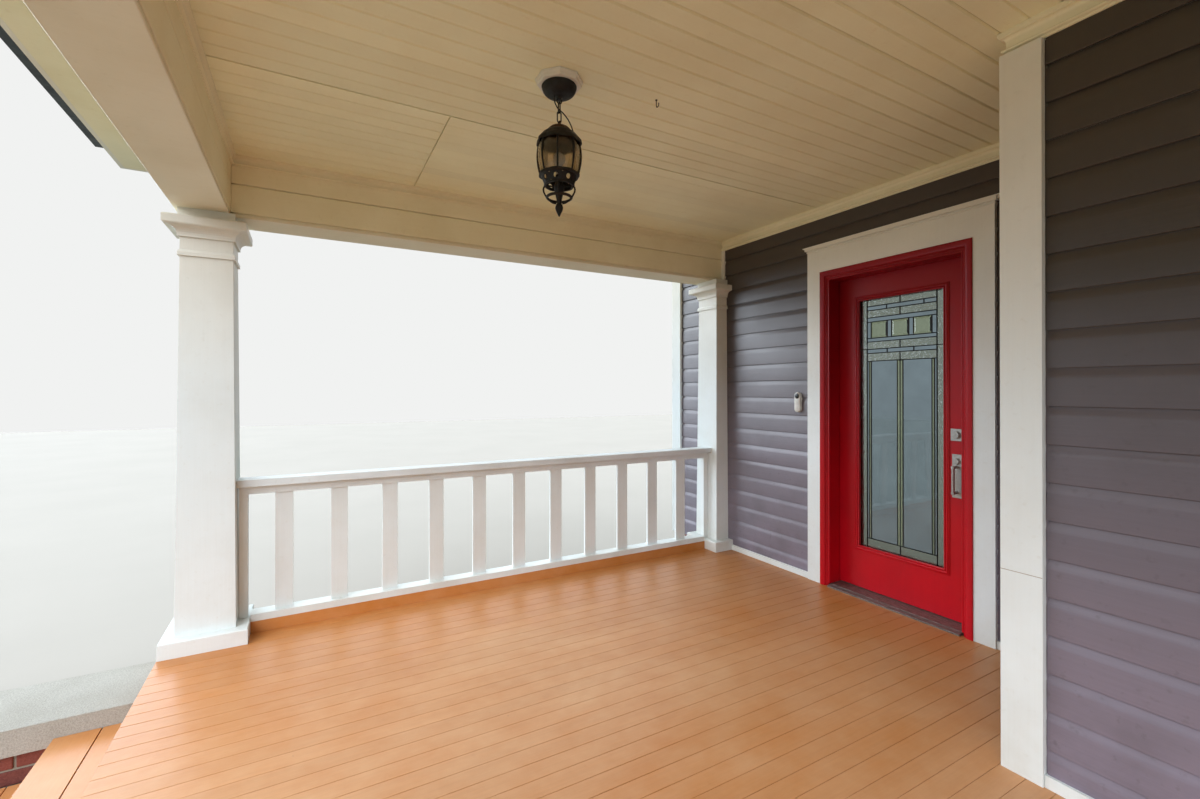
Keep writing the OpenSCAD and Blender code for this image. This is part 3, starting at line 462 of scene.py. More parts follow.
def mineral(name, colours, rough, grain, relief, stain=None):
    """Brick, mortar, concrete or shingle: a colour from each piece's shade, grains, stains and a rough face.

    Grain is in specks a metre, 6 mm apart on brick and 2.4 mm on shingles, each about three times coarser
    than real grit so that it shows. Relief is in millimetres, and stains are some 330 mm across.
    """
    material, tree, shader, where = start(name, rough)
    shade = add(tree, "ShaderNodeAttribute", attribute_name="shade").outputs["Fac"]
    broad = speckle(tree, where, 3.0, 0.35, 0.7, 6.0)
    grains = speckle(tree, where, grain, 0.35, 0.68, 4.0, rough=0.7)
    base = add(tree, "ShaderNodeMix", {0: shade, 6: linear(colours[0]), 7: linear(colours[1])},
               data_type="RGBA").outputs[2]
    for pattern, share, colour in ((grains, 0.55, colours[2]), (broad, 0.4, stain or colours[2])):
        part = add(tree, "ShaderNodeMath", {0: pattern, 1: share}, operation="MULTIPLY").outputs[0]
        base = add(tree, "ShaderNodeMix", {0: part, 6: base, 7: linear(colour)}, data_type="RGBA").outputs[2]
    tree.links.new(base, shader.inputs["Base Color"])
    rounded = add(tree, "ShaderNodeBevel", {"Radius": 0.003}, samples=4).outputs[0]
    bump = add(tree, "ShaderNodeBump", {"Height": grains, "Strength": 0.6, "Distance": relief / 1000,
                                        "Normal": rounded}).outputs[0]
    tree.links.new(bump, shader.inputs["Normal"])
    return material


# Maroon to brown fired brick, sooty in patches.
BRICK = mineral("fired_brick", ("7E3A2E", "5F2B28", "98594A"), 0.85, 160.0, 1.2, "4A2A26")
# Warm grey sanded mortar, flat and dull.
MORTAR = mineral("lime_mortar", ("A39C8F", "A39C8F", "7F786C"), 0.92, 260.0, 1.0)
# Pale grey trowelled concrete with damp stains.
CONCRETE = mineral("cap_concrete", ("BDB9B1", "A9A59D", "7D7970"), 0.85, 160.0, 1.4, "7F7566")
# Charcoal mineral granules on the roof.
SHINGLE = mineral("granule_shingle", ("4B4A49", "37383B", "6E6B66"), 0.95, 420.0, 1.0, "3B3A38")


def timber():
    """Sawn softwood of joists and stringers: grey-brown, grain 17 mm apart along X, grey weathering."""
    material, tree, shader, where = start("sawn_softwood", 0.75)
    rings = speckle(tree, where, 1.0, 0.3, 0.7, 5.0, (9, 60, 60))
    broad = speckle(tree, where, 3.5, 0.35, 0.7, 4.0)
    base = add(tree, "ShaderNodeMix", {0: rings, 6: linear("A88A62"), 7: linear("86683F")},
               data_type="RGBA").outputs[2]
    part = add(tree, "ShaderNodeMath", {0: broad, 1: 0.45}, operation="MULTIPLY").outputs[0]
    base = add(tree, "ShaderNodeMix", {0: part, 6: base, 7: linear("77706A")}, data_type="RGBA").outputs[2]
    tree.links.new(base, shader.inputs["Base Color"])
    bump = add(tree, "ShaderNodeBump", {"Height": rings, "Strength": 0.4, "Distance": 0.001}).outputs[0]
    tree.links.new(bump, shader.inputs["Normal"])
    return material


TIMBER = timber()


def metal(name, colour, dull, rough, metallic, grain, stretch=None):
    """Metal with a film of dirt: duller, rougher patches over the clean colour, a number of them a metre."""
    material, tree, shader, where = start(name, rough, metallic)
    film = speckle(tree, where, grain, 0.4, 0.72, 6.0, stretch)
    base = add(tree, "ShaderNodeMix", {0: film, 6: linear(colour), 7: linear(dull)},
               data_type="RGBA").outputs[2]
    tree.links.new(base, shader.inputs["Base Color"])
    gloss = add(tree, "ShaderNodeMapRange", {"Value": film, "To Min": rough,
                                             "To Max": min(1, rough + 0.3)}).outputs[0]
    tree.links.new(gloss, shader.inputs["Roughness"])
    rounded = add(tree, "ShaderNodeBevel", {"Radius": 0.0008}, samples=4).outputs[0]
    bump = add(tree, "ShaderNodeBump", {"Height": film, "Strength": 0.2, "Distance": 0.0004,
                                        "Normal": rounded}).outputs[0]
    tree.links.new(bump, shader.inputs["Normal"])
    return material


# Blue-black factory paint on the gutter.
GUTTER = metal("gutter_paint", "1B1F28", "353A42", 0.35, 0.0, 30.0)
# Worn mill-finish aluminium sill with a scratched tread.
SILL = metal("sill_aluminium", "8E8C88", "5E5A55", 0.38, 0.75, 26.0, (1, 8, 8))
# Brushed nickel on the lock's plates and the grip.
NICKEL = metal("brushed_nickel", "A9A8A5", "7E7C78", 0.3, 1.0, 90.0, (1, 1, 12))
# Dark bronze hinges.
BRONZE = metal("dark_bronze", "3A322B", "5A4A3C", 0.42, 0.9, 80.0)
# Cast lantern metal, black with a brown bloom where the paint has weathered, and browner still on its dome.
CAST = metal("cast_black", "0B0A09", "1D1712", 0.5, 0.1, 55.0)
CAST_DOME = metal("cast_weathered", "553B28", "2A1E15", 0.6, 0.1, 40.0)
# Lead cames, dull grey.
LEAD = metal("lead_came", "1B1D1D", "2E3131", 0.6, 0.1, 150.0)


def glazing(name, tint, rough, relief=0.0, scale=60.0, through=1.0):
    """Glass: a tint, a polish and, where textured, ripples: scale of them a metre and relief mm deep."""
    material, tree, shader, where = start(name, rough, 0.0, Transmission_Weight=through, IOR=1.5)
    clear = linear(tint)
    shader.inputs["Base Color"].default_value = clear
    clouds = speckle(tree, where, scale, 0.3, 0.7, 3.0)
    cloudy = add(tree, "ShaderNodeMix", {0: clouds, 6: clear, 7: [c * 0.85 for c in clear[:3]] + [1]},
                 data_type="RGBA").outputs[2]
    tree.links.new(cloudy, shader.inputs["Base Color"])
    if relief:
        bump = add(tree, "ShaderNodeBump", {"Height": clouds, "Strength": 0.8,
                                            "Distance": relief / 1000}).outputs[0]
        tree.links.new(bump, shader.inputs["Normal"])
    return material


# All three door glasses are tinted dark, painted shade of the unlit hall behind the door.
# Clear sheet with the dark hall behind it painted into its tint as shade, a faint grey-green.
CLEAR = glazing("clear_glass", "74838A", 0.03, 0.12, 7.0)
# Water glass in the bands, with ripples 18 mm apart.
RIPPLED = glazing("rippled_glass", "778078", 0.1, 2.2, 55.0)
# Bright bevelled squares and strips.
BEVELLED = glazing("bevelled_glass", "808B76", 0.02)
# Smoky ribbed glass of the lantern.
SMOKY = glazing("smoky_glass", "E3D8C4", 0.16, 0.08, 30.0)
# Milky bulb, more white than see-through.
FROSTED = glazing("frosted_bulb", "EDEAE2", 0.45, 0.0, 30.0, 0.6)


def plastic(name, colour, grime, rough):
    """Moulded plastic with a grain of 1.1 mm, coarser than real so that it shows, and thumbed dirt."""
    material, tree, shader, where = start(name, rough)
    dirt = speckle(tree, where, 24.0, 0.45, 0.8, 4.0)
    base = add(tree, "ShaderNodeMix", {0: dirt, 6: linear(colour), 7: linear(grime)},
               data_type="RGBA").outputs[2]
    tree.links.new(base, shader.inputs["Base Color"])
    grain = speckle(tree, where, 900.0, 0.3, 0.7, 2.0)
    bump = add(tree, "ShaderNodeBump", {"Height": grain, "Strength": 0.15, "Distance": 0.0002}).outputs[0]
    tree.links.new(bump, shader.inputs["Normal"])
    return material


# Off-white satin case of the door bell.
BELL_WHITE = plastic("bell_white", "DAD8D2", "B3AFA4", 0.35)
# Its shiny black eye.
BELL_DARK = plastic("bell_dark", "17181B", "2B2C30", 0.2)
# Black round lead of the lamp.
LEAD_BLACK = plastic("lead_black", "15130F", "2C2620", 0.4)


def arc(a, b, radius, first, last, steps=6, squash=1.0):
    """Points of an arc about (a, b), from one angle in degrees to another."""
    turns = [math.radians(first + (last - first) * i / steps) for i in range(steps + 1)]
    return [(a + radius * math.cos(t), b + squash * radius * math.sin(t)) for t in turns]


def facing(corner, outward):
    """The frame of a wall's face: X runs to the right as seen from outside, Z up and Y into the wall."""
    inward = -Vector(outward)
    along = inward.cross(Vector((0, 0, 1)))
    place = Matrix((along, inward, Vector((0, 0, 1)))).transposed().to_4x4()
    place.translation = Vector(corner)
    return place


# Masonry: modular brick in running bond with real corners, over a core of mortar

BRICK_RISE, BRICK_PITCH, BRICK_DEPTH, JOINT = 67.7, 203.0, 92.0, 10.0


def bonded(shape, corner, outward, length, height, first_odd, seed):
    """Brick over one face of a wall, from its left foot. First_odd shifts the bond by half a brick."""
    pitch = (length + JOINT) / round((length + JOINT) / BRICK_PITCH)
    rows = round(height / BRICK_RISE)
    rise = height / rows
    brick = Shape().block((0, 0, 0), (pitch - JOINT, BRICK_DEPTH, rise - JOINT), 2.5)
    place = facing(corner, outward) @ Matrix.Translation((0, 0, JOINT / 2))
    shape.rows(brick, BRICK, place, along=round((length + JOINT) / pitch), rows=rows, pitch=pitch, rise=rise,
               stagger=0.5, first_odd=first_odd, short=1, shift=(0.8, 1.0, 0.6), turn=0.004, seed=seed)


# How deep the joints are raked, and how far the foundation reaches out and in from the columns' centres.
recess, out, inner_side = 7, 156, 44
porch_top = -182
bricks, mortar = Shape(), Shape()
bonded(bricks, (-out, -out, GROUND), (0, -1, 0), RIGHT_COLUMN + 2 * out, porch_top - GROUND, 0, 11)
bonded(bricks, (-out, DOOR_WALL, GROUND), (-1, 0, 0), DOOR_WALL + out, porch_top - GROUND, 1, 12)
bonded(bricks, (RIGHT_COLUMN + out, -out, GROUND), (1, 0, 0), ROOM_WALL + out, porch_top - GROUND, 1, 13)
mortar.block((-out + recess, -out + recess, GROUND), (RIGHT_COLUMN + out - recess, inner_side, porch_top), 0)
mortar.block((-out + recess, inner_side, GROUND), (inner_side, DOOR_WALL, porch_top), 0)
mortar.block((RIGHT_COLUMN - inner_side, inner_side, GROUND),
             (RIGHT_COLUMN + out - recess, ROOM_WALL, porch_top), 0)
bricks.make("porch_bricks", BRICK, "brick", replaces=["porch_foundation"])
mortar.make("porch_mortar", MORTAR, "brick")

bricks, mortar = Shape(), Shape()
wall_left, wall_right, house_top = -587, 5987, -24
for x, y, outward, length, first_odd, seed in (
        (wall_left, DOOR_WALL, (0, -1, 0), -out - wall_left, 0, 21),
        (wall_left, WALL_BACK, (-1, 0, 0), WALL_T, 1, 22),
        (RIGHT_COLUMN + out, ROOM_WALL, (0, -1, 0), wall_right - RIGHT_COLUMN - out, 0, 23),
        (wall_right, ROOM_WALL, (1, 0, 0), WALL_T, 1, 24),
        (RETURN_BACK, WALL_BACK, (0, 1, 0), RETURN_BACK - wall_left, 0, 25),
        (wall_right, ROOM_BACK, (0, 1, 0), wall_right - RETURN_BACK, 0, 26),
        (RETURN_BACK, ROOM_BACK, (1, 0, 0), WALL_BACK - ROOM_BACK, 1, 27)):
    bonded(bricks, (x, y, GROUND), outward, length, house_top - GROUND, first_odd, seed)
for x0, y0, x1, y1 in ((wall_left + recess, DOOR_WALL + recess, RETURN_BACK - recess, WALL_BACK - recess),
                       (ROOM_SIDE, ROOM_WALL + recess, RETURN_BACK - recess, DOOR_WALL + recess),
                       (RETURN_BACK - recess, ROOM_WALL + recess, wall_right - recess, ROOM_BACK - recess)):
    mortar.block((x0, y0, GROUND), (x1, y1, house_top), 0)
bricks.make("house_bricks", BRICK, "brick", replaces=["house_foundation"])
mortar.make("house_mortar", MORTAR, "brick")

bricks, mortar = Shape(), Shape()
cheek_front, cheek_back, cheek_top = -814, -156, -185
cheek_depth = cheek_back - cheek_front
for left, right in ((0, 367), (2333, 2700)):
    for x, y, outward, length, first_odd, seed in (
            (left, cheek_front, (0, -1, 0), right - left, 0, 31),
            (left, cheek_back, (-1, 0, 0), cheek_depth, 1, 32),
            (right, cheek_front, (1, 0, 0), cheek_depth, 1, 33)):
        bonded(bricks, (x, y, GROUND), outward, length, cheek_top - GROUND, first_odd, seed + left)
    mortar.block((left + recess, cheek_front + recess, GROUND), (right - recess, cheek_back, cheek_top), 0)
bricks.make("cheek_bricks", BRICK, "brick", replaces=["cheek_walls"])
mortar.make("cheek_mortar", MORTAR, "brick")

# Deck boards laid front to back, with tight joints

board, board_t, seam = 79.0, 24, 1453.0
boards = Shape()
left_start = seam - 21 * board
right_start = left_start + 34 * board
for start_x, wall, along, seed, trim in ((left_start, DOOR_WALL, 34, 41, ((DECK_LEFT, 0, 0), (-1, 0, 0))),
                                         (right_start, ROOM_WALL, 40, 42, ((DECK_RIGHT, 0, 0), (1, 0, 0)))):
    piece = Shape().block((0.4, 0, -board_t), (board - 0.4, wall - DECK_FRONT, 0), 1.3)
    place = Matrix.Translation((start_x, DECK_FRONT, 0))
    boards.rows(piece, FLOOR, place, along=along, pitch=board, seed=seed, trims=[trim])
boards.block((right_start + 0.4, ROOM_WALL + 0.4, -board_t), (ROOM_SIDE, DOOR_WALL, 0), 1.3)
boards.make("deck_boards", FLOOR, "floor_paint", replaces=["deck"], soft=0)

# Ceiling boards with V joints. Those at the left back were relaid with tight joints and butt on the rest.

strip, strip_seam, ceiling_t, relaid_y, ceiling_step = 87.0, 1010.0, 19.0, 1010, 2489
beam_face, beam_back = 60, 95


def ceiling_zone(shape, x0, x1, y0, y1, groove, seed):
    """Ceiling boards over a rectangle, with edges eased by groove."""
    piece = Shape().block((0.5, 0, 0), (strip - 0.5, y1 - y0, ceiling_t), groove)
    start_x = strip_seam + strip * math.floor((x0 - strip_seam) / strip + 0.001)
    along = math.ceil((x1 - start_x) / strip - 0.001)
    shape.rows(piece, BEIGE, Matrix.Translation((start_x, y0, CEILING)), along=along, pitch=strip, seed=seed,
               shift=(0.5, 0, 0.5), trims=[((x0, 0, 0), (-1, 0, 0)), ((x1, 0, 0), (1, 0, 0))])


boards = Shape()
ceiling_zone(boards, beam_face, strip_seam - 4, beam_back, relaid_y - 1, 4.8, 51)
ceiling_zone(boards, beam_face, strip_seam - 4, relaid_y + 1, DOOR_WALL, 1.2, 52)
ceiling_zone(boards, strip_seam, ceiling_step, beam_back, DOOR_WALL, 5.2, 53)
ceiling_zone(boards, ceiling_step, RIGHT_COLUMN - beam_face, beam_back, ROOM_WALL, 5.2, 54)
boards.block((ceiling_step + 0.5, ROOM_WALL + 0.5, CEILING), (ROOM_SIDE, DOOR_WALL, CEILING + ceiling_t), 0)
boards.make("ceiling_boards", BEIGE, "trim_beige", replaces=["ceiling"], soft=0)

# Beams boxed in two boards a side, with a groove where they meet and a shadow gap over the board underneath

groove_z = 2382
beam_left, beam_front, beam_right = -175, -140, RIGHT_COLUMN + 175
boards = Shape()
undersides = Shape()
for low, high in (((beam_left, beam_front), (beam_right, beam_back)),
                  ((beam_left, beam_back), (beam_face, DOOR_WALL)),
                  ((RIGHT_COLUMN - beam_face, beam_back), (beam_right, ROOM_WALL))):
    boards.block((*low, BEAM + 24), (*high, groove_z - 3), 2.5)
    boards.block((*low, groove_z + 3), (*high, SOFFIT), 2.5)
    boards.block((low[0] + 9, low[1] + 9, BEAM + 12), (high[0] - 9, high[1] - 9, SOFFIT - 6), 0)
    undersides.block((low[0] + 2, low[1] + 2, BEAM), (high[0] - 2, high[1] - 2, BEAM + 19), 2.5)
boards.make("beam_boards", BEIGE_BEAM, "trim_beige", replaces=["front_beam", "side_beams"], soft=0)
undersides.make("beam_undersides", CREAM, "trim_beige", soft=0)


def crown(width, height):
    """An ogee crown against the ceiling, as (out from the wall, down from the ceiling)."""
    cove = width * 0.62
    return ([(0, 0), (width, 0), (width, -height * 0.16), (width - 3, -height * 0.18),
             (width - 3, -height * 0.24)]
            + arc(width - 3, -height * 0.24 - cove, cove, 92, 178, 8)
            + [(width * 0.24, -height * 0.72), (width * 0.5, -height * 0.74)]
            + arc(width * 0.5, -height * 0.8, height * 0.06, 80, -80, 5) + [(width * 0.2, -height * 0.88)]
            + [(width * 0.2, -height), (0, -height)])


crowns = Shape()
inner = RIGHT_COLUMN - beam_face
crowns.sweep(crown(22, 55), [(beam_face, DOOR_WALL, CEILING), (beam_face, beam_back, CEILING),
             (inner, beam_back, CEILING), (inner, ROOM_WALL, CEILING)], (0, 0, 1))
crowns.sweep(crown(25, 77), [(inner, ROOM_WALL, CEILING), (ROOM_SIDE, ROOM_WALL, CEILING),
             (ROOM_SIDE, DOOR_WALL, CEILING), (beam_face, DOOR_WALL, CEILING)], (0, 0, 1))
crowns.make("crown_moulding", BEIGE_BEAM, "trim_beige", replaces=["ceiling_crown"])

# Lap boards with a cove under each lap, over the walls' sheathing. A tongue behind each crack keeps it dark.

lap, lap_zero, siding_t = 124.7, 120.0, 9.0
crack = 1.5
cove = [(siding_t - deep, lap - crack - down)
        for down, deep in ((34, 0), (28, 0.9), (22, 2.2), (16, 3.9), (10, 5.8), (5, 7.2), (0, 8.2))]
LAP_PROFILE = ([(0.2, crack), (siding_t - 1.2, crack), (siding_t, crack + 1.4)] + cove
               + [(0.6, lap - crack), (0.6, lap + crack), (0.2, lap + crack)])


def lapped(shape, finish, corner, outward, length, top, seed):
    """Lap boards over one stretch of wall, whose corner is at its left end at the foot."""
    piece = Shape()
    piece.sweep([(-y, z) for y, z in LAP_PROFILE], [(0, 0, 0), (length, 0, 0)], (0, 0, 1))
    foot = corner[2]
    start_z = lap_zero + lap * math.floor((foot - lap_zero) / lap)
    rows = math.ceil((top - start_z) / lap)
    place = facing((corner[0], corner[1], start_z), outward)
    shape.rows(piece, finish, place, rows=rows, along=1, rise=lap, seed=seed, shift=(0, 0.25, 0.3),
               trims=[((0, 0, foot), (0, 0, -1)), ((0, 0, top), (0, 0, 1))])


face, room_face, side_face = DOOR_WALL + siding_t, ROOM_WALL + siding_t, ROOM_SIDE + siding_t
siding_top, wall_foot, board_edge = SOFFIT - 6, -24, ROOM_SIDE + 100
wall_start, casing_left, casing_right, casing_top = -487, 993, 2003, 2262
siding = Shape()
for left, right, foot, seed in ((wall_start, casing_left, wall_foot, 61),
                                (casing_left, casing_right, casing_top, 62),
                                (casing_right, ROOM_SIDE + 5, 0, 63)):
    lapped(siding, SIDING, (left, face, foot), (0, -1, 0), right - left, siding_top, seed)
siding.make("lap_siding", SIDING, "siding", soft=30)
siding = Shape()
left, right = board_edge + 5, 5950
lapped(siding, SIDING_ROOM_SHADED, (left, room_face, wall_foot), (0, -1, 0), right - left, siding_top, 64)
# A dark strip of the siding paint closes the gap between the laps and the corner board, painted shadow in the
# gap.
siding.block((board_edge - 2, ROOM_WALL + 5, 40), (board_edge + 6, room_face, 2450), 0)
siding.make("room_siding", SIDING_ROOM_SHADED, "siding", soft=30)
siding = Shape()
back, front = DOOR_WALL + 4, ROOM_WALL + 37
lapped(siding, SIDING_SIDE, (side_face, back, 0), (-1, 0, 0), back - front, siding_top, 65)
siding.make("return_siding", SIDING_SIDE, "siding", soft=30)

# The near corner board is in two lengths; a dark strip in the open joint between them is painted shadow

board_proud, joint_z = 20, 682
joint_shadow_strip = Shape().block((ROOM_SIDE - board_proud, ROOM_WALL - board_proud - 0.4, joint_z - 0.8),
                      (board_edge - 1, ROOM_WALL - board_proud + 1, joint_z + 0.8), 0)
joint_shadow_strip.make("corner_board_joint", TIMBER, "trim_white")

# Door frame with its moulding, all red

JAMB_L, JAMB_R, JAMB_TOP, JAMB_T = 1084.5, 1910.5, 2037, 19
FRAME_FRONT, STOP_BACK = 3470, 3574
frame_work = Shape()
for x0, x1 in ((JAMB_L - JAMB_T, JAMB_L), (JAMB_R, JAMB_R + JAMB_T)):
    frame_work.block((x0, FRAME_FRONT, 0), (x1, WALL_BACK, JAMB_TOP), 1.2)
frame_work.block((JAMB_L - JAMB_T, FRAME_FRONT, JAMB_TOP),
                 (JAMB_R + JAMB_T, WALL_BACK, JAMB_TOP + JAMB_T), 1.2)
for x0, x1 in ((JAMB_L, JAMB_L + 10), (JAMB_R - 10, JAMB_R)):
    frame_work.block((x0, FRAME_FRONT, 17), (x1, STOP_BACK, JAMB_TOP - 10), 2)
frame_work.block((JAMB_L, FRAME_FRONT, JAMB_TOP - 10), (JAMB_R, STOP_BACK, JAMB_TOP), 2)
moulding = ([(0, 0), (0, 21), (2, 23), (7, 23.5)] + arc(18, 23, 10, 180, 100, 5) + [(18, 33), (22, 35)]
            + [(40, 35)] + arc(42, 31, 4, 90, 0, 4) + [(46, 0)])
left, right, top = JAMB_L - 6, JAMB_R + 6, JAMB_TOP + 6
round_door = [(left, face, 0), (left, face, top), (right, face, top), (right, face, 0)]
frame_work.sweep(moulding, round_door, (0, -1, 0))
frame_work.make("frame_and_moulding", RED, "door_red", replaces=["door_frame"])

# Casing head: a bead under the cap and a shaped cap

def returned(left, right, back, front, z):
    """A path along the front of the head, with a return to the wall at each end."""
    return [(right, back, z), (right, front, z), (left, front, z), (left, back, z)]


head = Shape()
head.sweep([(0, 0), (0, 5), (6, 6), (6, 10)] + arc(16, 10, 10, 180, 90, 5) + [(17, 25), (0, 25)],
           returned(917, 2078, face, 3461, 2250), (0, 0, 1))
head.sweep([(0, 0), (3.5, 1), (5, 4), (3.5, 7), (0, 8)], returned(931.5, 2063.5, 3480, 3458, 2236), (0, 0, 1))
head.make("head_mouldings", WHITE, "trim_white")

# Door: mouldings that hold the glass on both faces

GLASS_L, GLASS_R, GLASS_LOW, GLASS_TOP = 1229.5, 1762.5, 286, 1880
DOOR_FACE, DOOR_BACK = 3580, 3624
ring_path = [(GLASS_L, GLASS_LOW), (GLASS_L, GLASS_TOP), (GLASS_R, GLASS_TOP), (GLASS_R, GLASS_LOW)]
bead = ([(-7, -11), (-7, 1)] + arc(-2, 2.5, 5, 180, 20, 6) + [(5, 2.5)] + arc(12, 3.5, 6.5, 190, 20, 6, 0.9)
        + [(21, 4.5), (24.5, 3.2), (25, 0), (25, -1), (0, -1), (0, -11)])
light = Shape()
light.sweep(bead, [(x, DOOR_FACE, z) for x, z in ring_path], (0, -1, 0), closed=True)
light.sweep(bead, [(x, DOOR_BACK, z) for x, z in reversed(ring_path)], (0, 1, 0), closed=True)
light.make("glass_mouldings", RED, "door_red", body="door_leaf")

# Leaded glass: cells given as left, right, low and high, from the middle of the light

# W is half the light's width, and B half the width inside its rippled border.
W, B = 266.5, 215
CELLS = {
    "rippled": [(-W, -B, 286, 1558), (-W, -B, 1558, 1880), (B, W, 286, 1558), (B, W, 1558, 1880),
                (-B, 0, 1832, 1880), (0, B, 1832, 1880), (-B, 0, 1759, 1806), (0, B, 1759, 1806),
                (-B, 0, 1558, 1605), (0, B, 1558, 1605), (-B, 0, 1482, 1532), (0, B, 1482, 1532),
                (-B, 0, 286, 350), (0, B, 286, 350)],
    "clear": [(-B, -85, 1806, 1832), (-85, 142, 1806, 1832), (142, B, 1806, 1832),
              (-B, B, 1732, 1759), (-B, B, 1605, 1628), (-B, -187, 1628, 1732), (-81, -53, 1628, 1732),
              (53, 81, 1628, 1732), (187, B, 1628, 1732), (-B, -82, 1532, 1558), (-82, 83, 1532, 1558),
              (83, B, 1532, 1558), (-B, -201, 350, 1482), (-187, -17, 350, 1482), (17, 187, 350, 1482),
              (201, B, 350, 1482)],
    "bevelled": [(-187, -81, 1628, 1732), (-53, 53, 1628, 1732), (81, 187, 1628, 1732),
                 (-201, -187, 350, 1482), (-17, 0, 350, 1482), (0, 17, 350, 1482), (187, 201, 350, 1482)],
}
glass_y, half_glass = 3598, 3.0
panes = {kind: Shape() for kind in CELLS}
leads = set()
for kind, cells in CELLS.items():
    for x0, x1, z0, z1 in cells:
        if kind == "bevelled":
            edge, deep, rim = min(14, (x1 - x0) * 0.42), half_glass + 2.2, 0.8
        else:
            edge, deep, rim = 0.4, half_glass, half_glass - 0.2
        low, high = (DOOR_MIDDLE + x0 + 0.6, z0 + 0.6), (DOOR_MIDDLE + x1 - 0.6, z1 - 0.6)
        steps = [(0, -rim), (edge, -deep), (edge, deep), (0, rim)]
        pane = panes[kind].mesh
        rings = [[pane.verts.new((x, glass_y + y, z))
                  for x, z in ((low[0] + i, low[1] + i), (high[0] - i, low[1] + i),
                               (high[0] - i, high[1] - i), (low[0] + i, high[1] - i))] for i, y in steps]
        for one, two in zip(rings, rings[1:] + rings[:1]):
            if one is rings[1]:
                continue
            for j in range(4):
                pane.faces.new((one[j], one[(j + 1) % 4], two[(j + 1) % 4], two[j]))
        pane.faces.new(rings[1])
        pane.faces.new(rings[2][::-1])
        leads.update({(x0, x1, z0, z0), (x0, x1, z1, z1), (x0, x0, z0, z1), (x1, x1, z0, z1)})
cames = Shape()
came, came_deep = 2.6, 5.5
for x0, x1, z0, z1 in sorted(leads):
    cames.block((DOOR_MIDDLE + x0 - came, glass_y - came_deep, z0 - came),
                (DOOR_MIDDLE + x1 + came, glass_y + came_deep, z1 + came), 1.6)
cames.make("lead_cames", LEAD, "leaded_glass", body="door_leaf", replaces=["door_glass"])
for kind, finish in (("clear", CLEAR), ("rippled", RIPPLED), ("bevelled", BEVELLED)):
    panes[kind].make(kind + "_panes", finish, "leaded_glass", body="door_leaf", soft=0)

# Lock: rings round the key cylinders and a keyway

lock_x, bolt_z, latch_z = 1826, 1050, 905
lock = Shape()
for z, r, y in ((bolt_z, 21, 3572), (latch_z, 18, 3574)):
    lock.turn([(r - 5, 0), (r, 0.5), (r, 2.5), (r - 2, 4), (r - 5, 4)], 40, centre=(lock_x, y, z), axis="Y")
lock.block((lock_x - 1.2, 3559.5, bolt_z - 7), (lock_x + 1.2, 3561, bolt_z + 7), 0.3)
lock.make("lock_rings", NICKEL, "bronze", body="door_leaf")


def capsule(width, low, high, steps=16):
    """Outline of an upright capsule about X = 0."""
    r = width / 2
    return arc(0, high - r, r, 0, 180, steps) + arc(0, low + r, r, 180, 360, steps)


def plate(shape, width, low, high, x, y_back, y_front, edge=3.0):
    """An upright capsule of a plate, with a rounded front rim; it faces the steps."""
    insets = [(0, y_back - y_front)]
    insets += [(edge * (1 - math.cos(a)), edge * (1 - math.sin(a))) for a in (0, 0.5, 1.0, math.pi / 2)]
    rings = [[shape.mesh.verts.new((x + px, y_front + drop, pz))
              for px, pz in capsule(width - 2 * inset, low + inset, high - inset)] for inset, drop in insets]
    count = len(rings[0])
    for one, two in zip(rings, rings[1:]):
        for j in range(count):
            shape.mesh.faces.new((one[j], one[(j + 1) % count], two[(j + 1) % count], two[j]))
    shape.mesh.faces.new(rings[0])
    shape.mesh.faces.new(rings[-1][::-1])


bell_x = 843
bell = Shape()
plate(bell, 48, 1142, 1282, bell_x, face, 3456)
bell.make("bell_case", BELL_WHITE, "bell_plastic", replaces=["doorbell"])
lens = Shape()
lens_line = [(0, 3.6), (13, 3), (17, 2.2), (19, 0.5), (19, -2), (0, -2)]
lens.turn(lens_line, 48, centre=(bell_x, 3455.5, 1256), axis="Y")
lens.make("bell_lens", BELL_DARK, "bell_plastic")

# Roof: three-tab shingles on three planes, folded caps on the hips

pitch_angle = math.radians(13)
tan_pitch, cos_pitch, sin_pitch = math.tan(pitch_angle), math.cos(pitch_angle), math.sin(pitch_angle)
drip, ridge_x = 495, 2700
roof_low = SOFFIT + 150 - 25 * tan_pitch + 0.5
roof_top = roof_low + 60
tab_w, tab_h = 305.0, 143.0
tab = Shape().block((2.5, -6.5, 0), (tab_w - 2.5, 0.5, tab_h + 32), 0.8)
for vert in tab.mesh.verts:
    if vert.co.z > tab_h and vert.co.y < -1.5:
        vert.co.y = -1.5


def shingled(shape, origin, outward, length, rows, seed, trims):
    """Shingles on one roof plane, from its left end at the eave."""
    outward = Vector(outward)
    along = Vector((0, 0, 1)).cross(outward).normalized()
    place = Matrix((along, -outward, outward.cross(along))).transposed().to_4x4()
    place.translation = Vector(origin)
    place = place @ Matrix.Translation((-tab_w, 0, -8))
    shape.rows(tab, SHINGLE, place, along=math.ceil(length / tab_w) + 2, rows=rows, pitch=tab_w, rise=tab_h,
               stagger=0.5, seed=seed, shift=(1.5, 0, 1.5), turn=0.002, trims=trims)


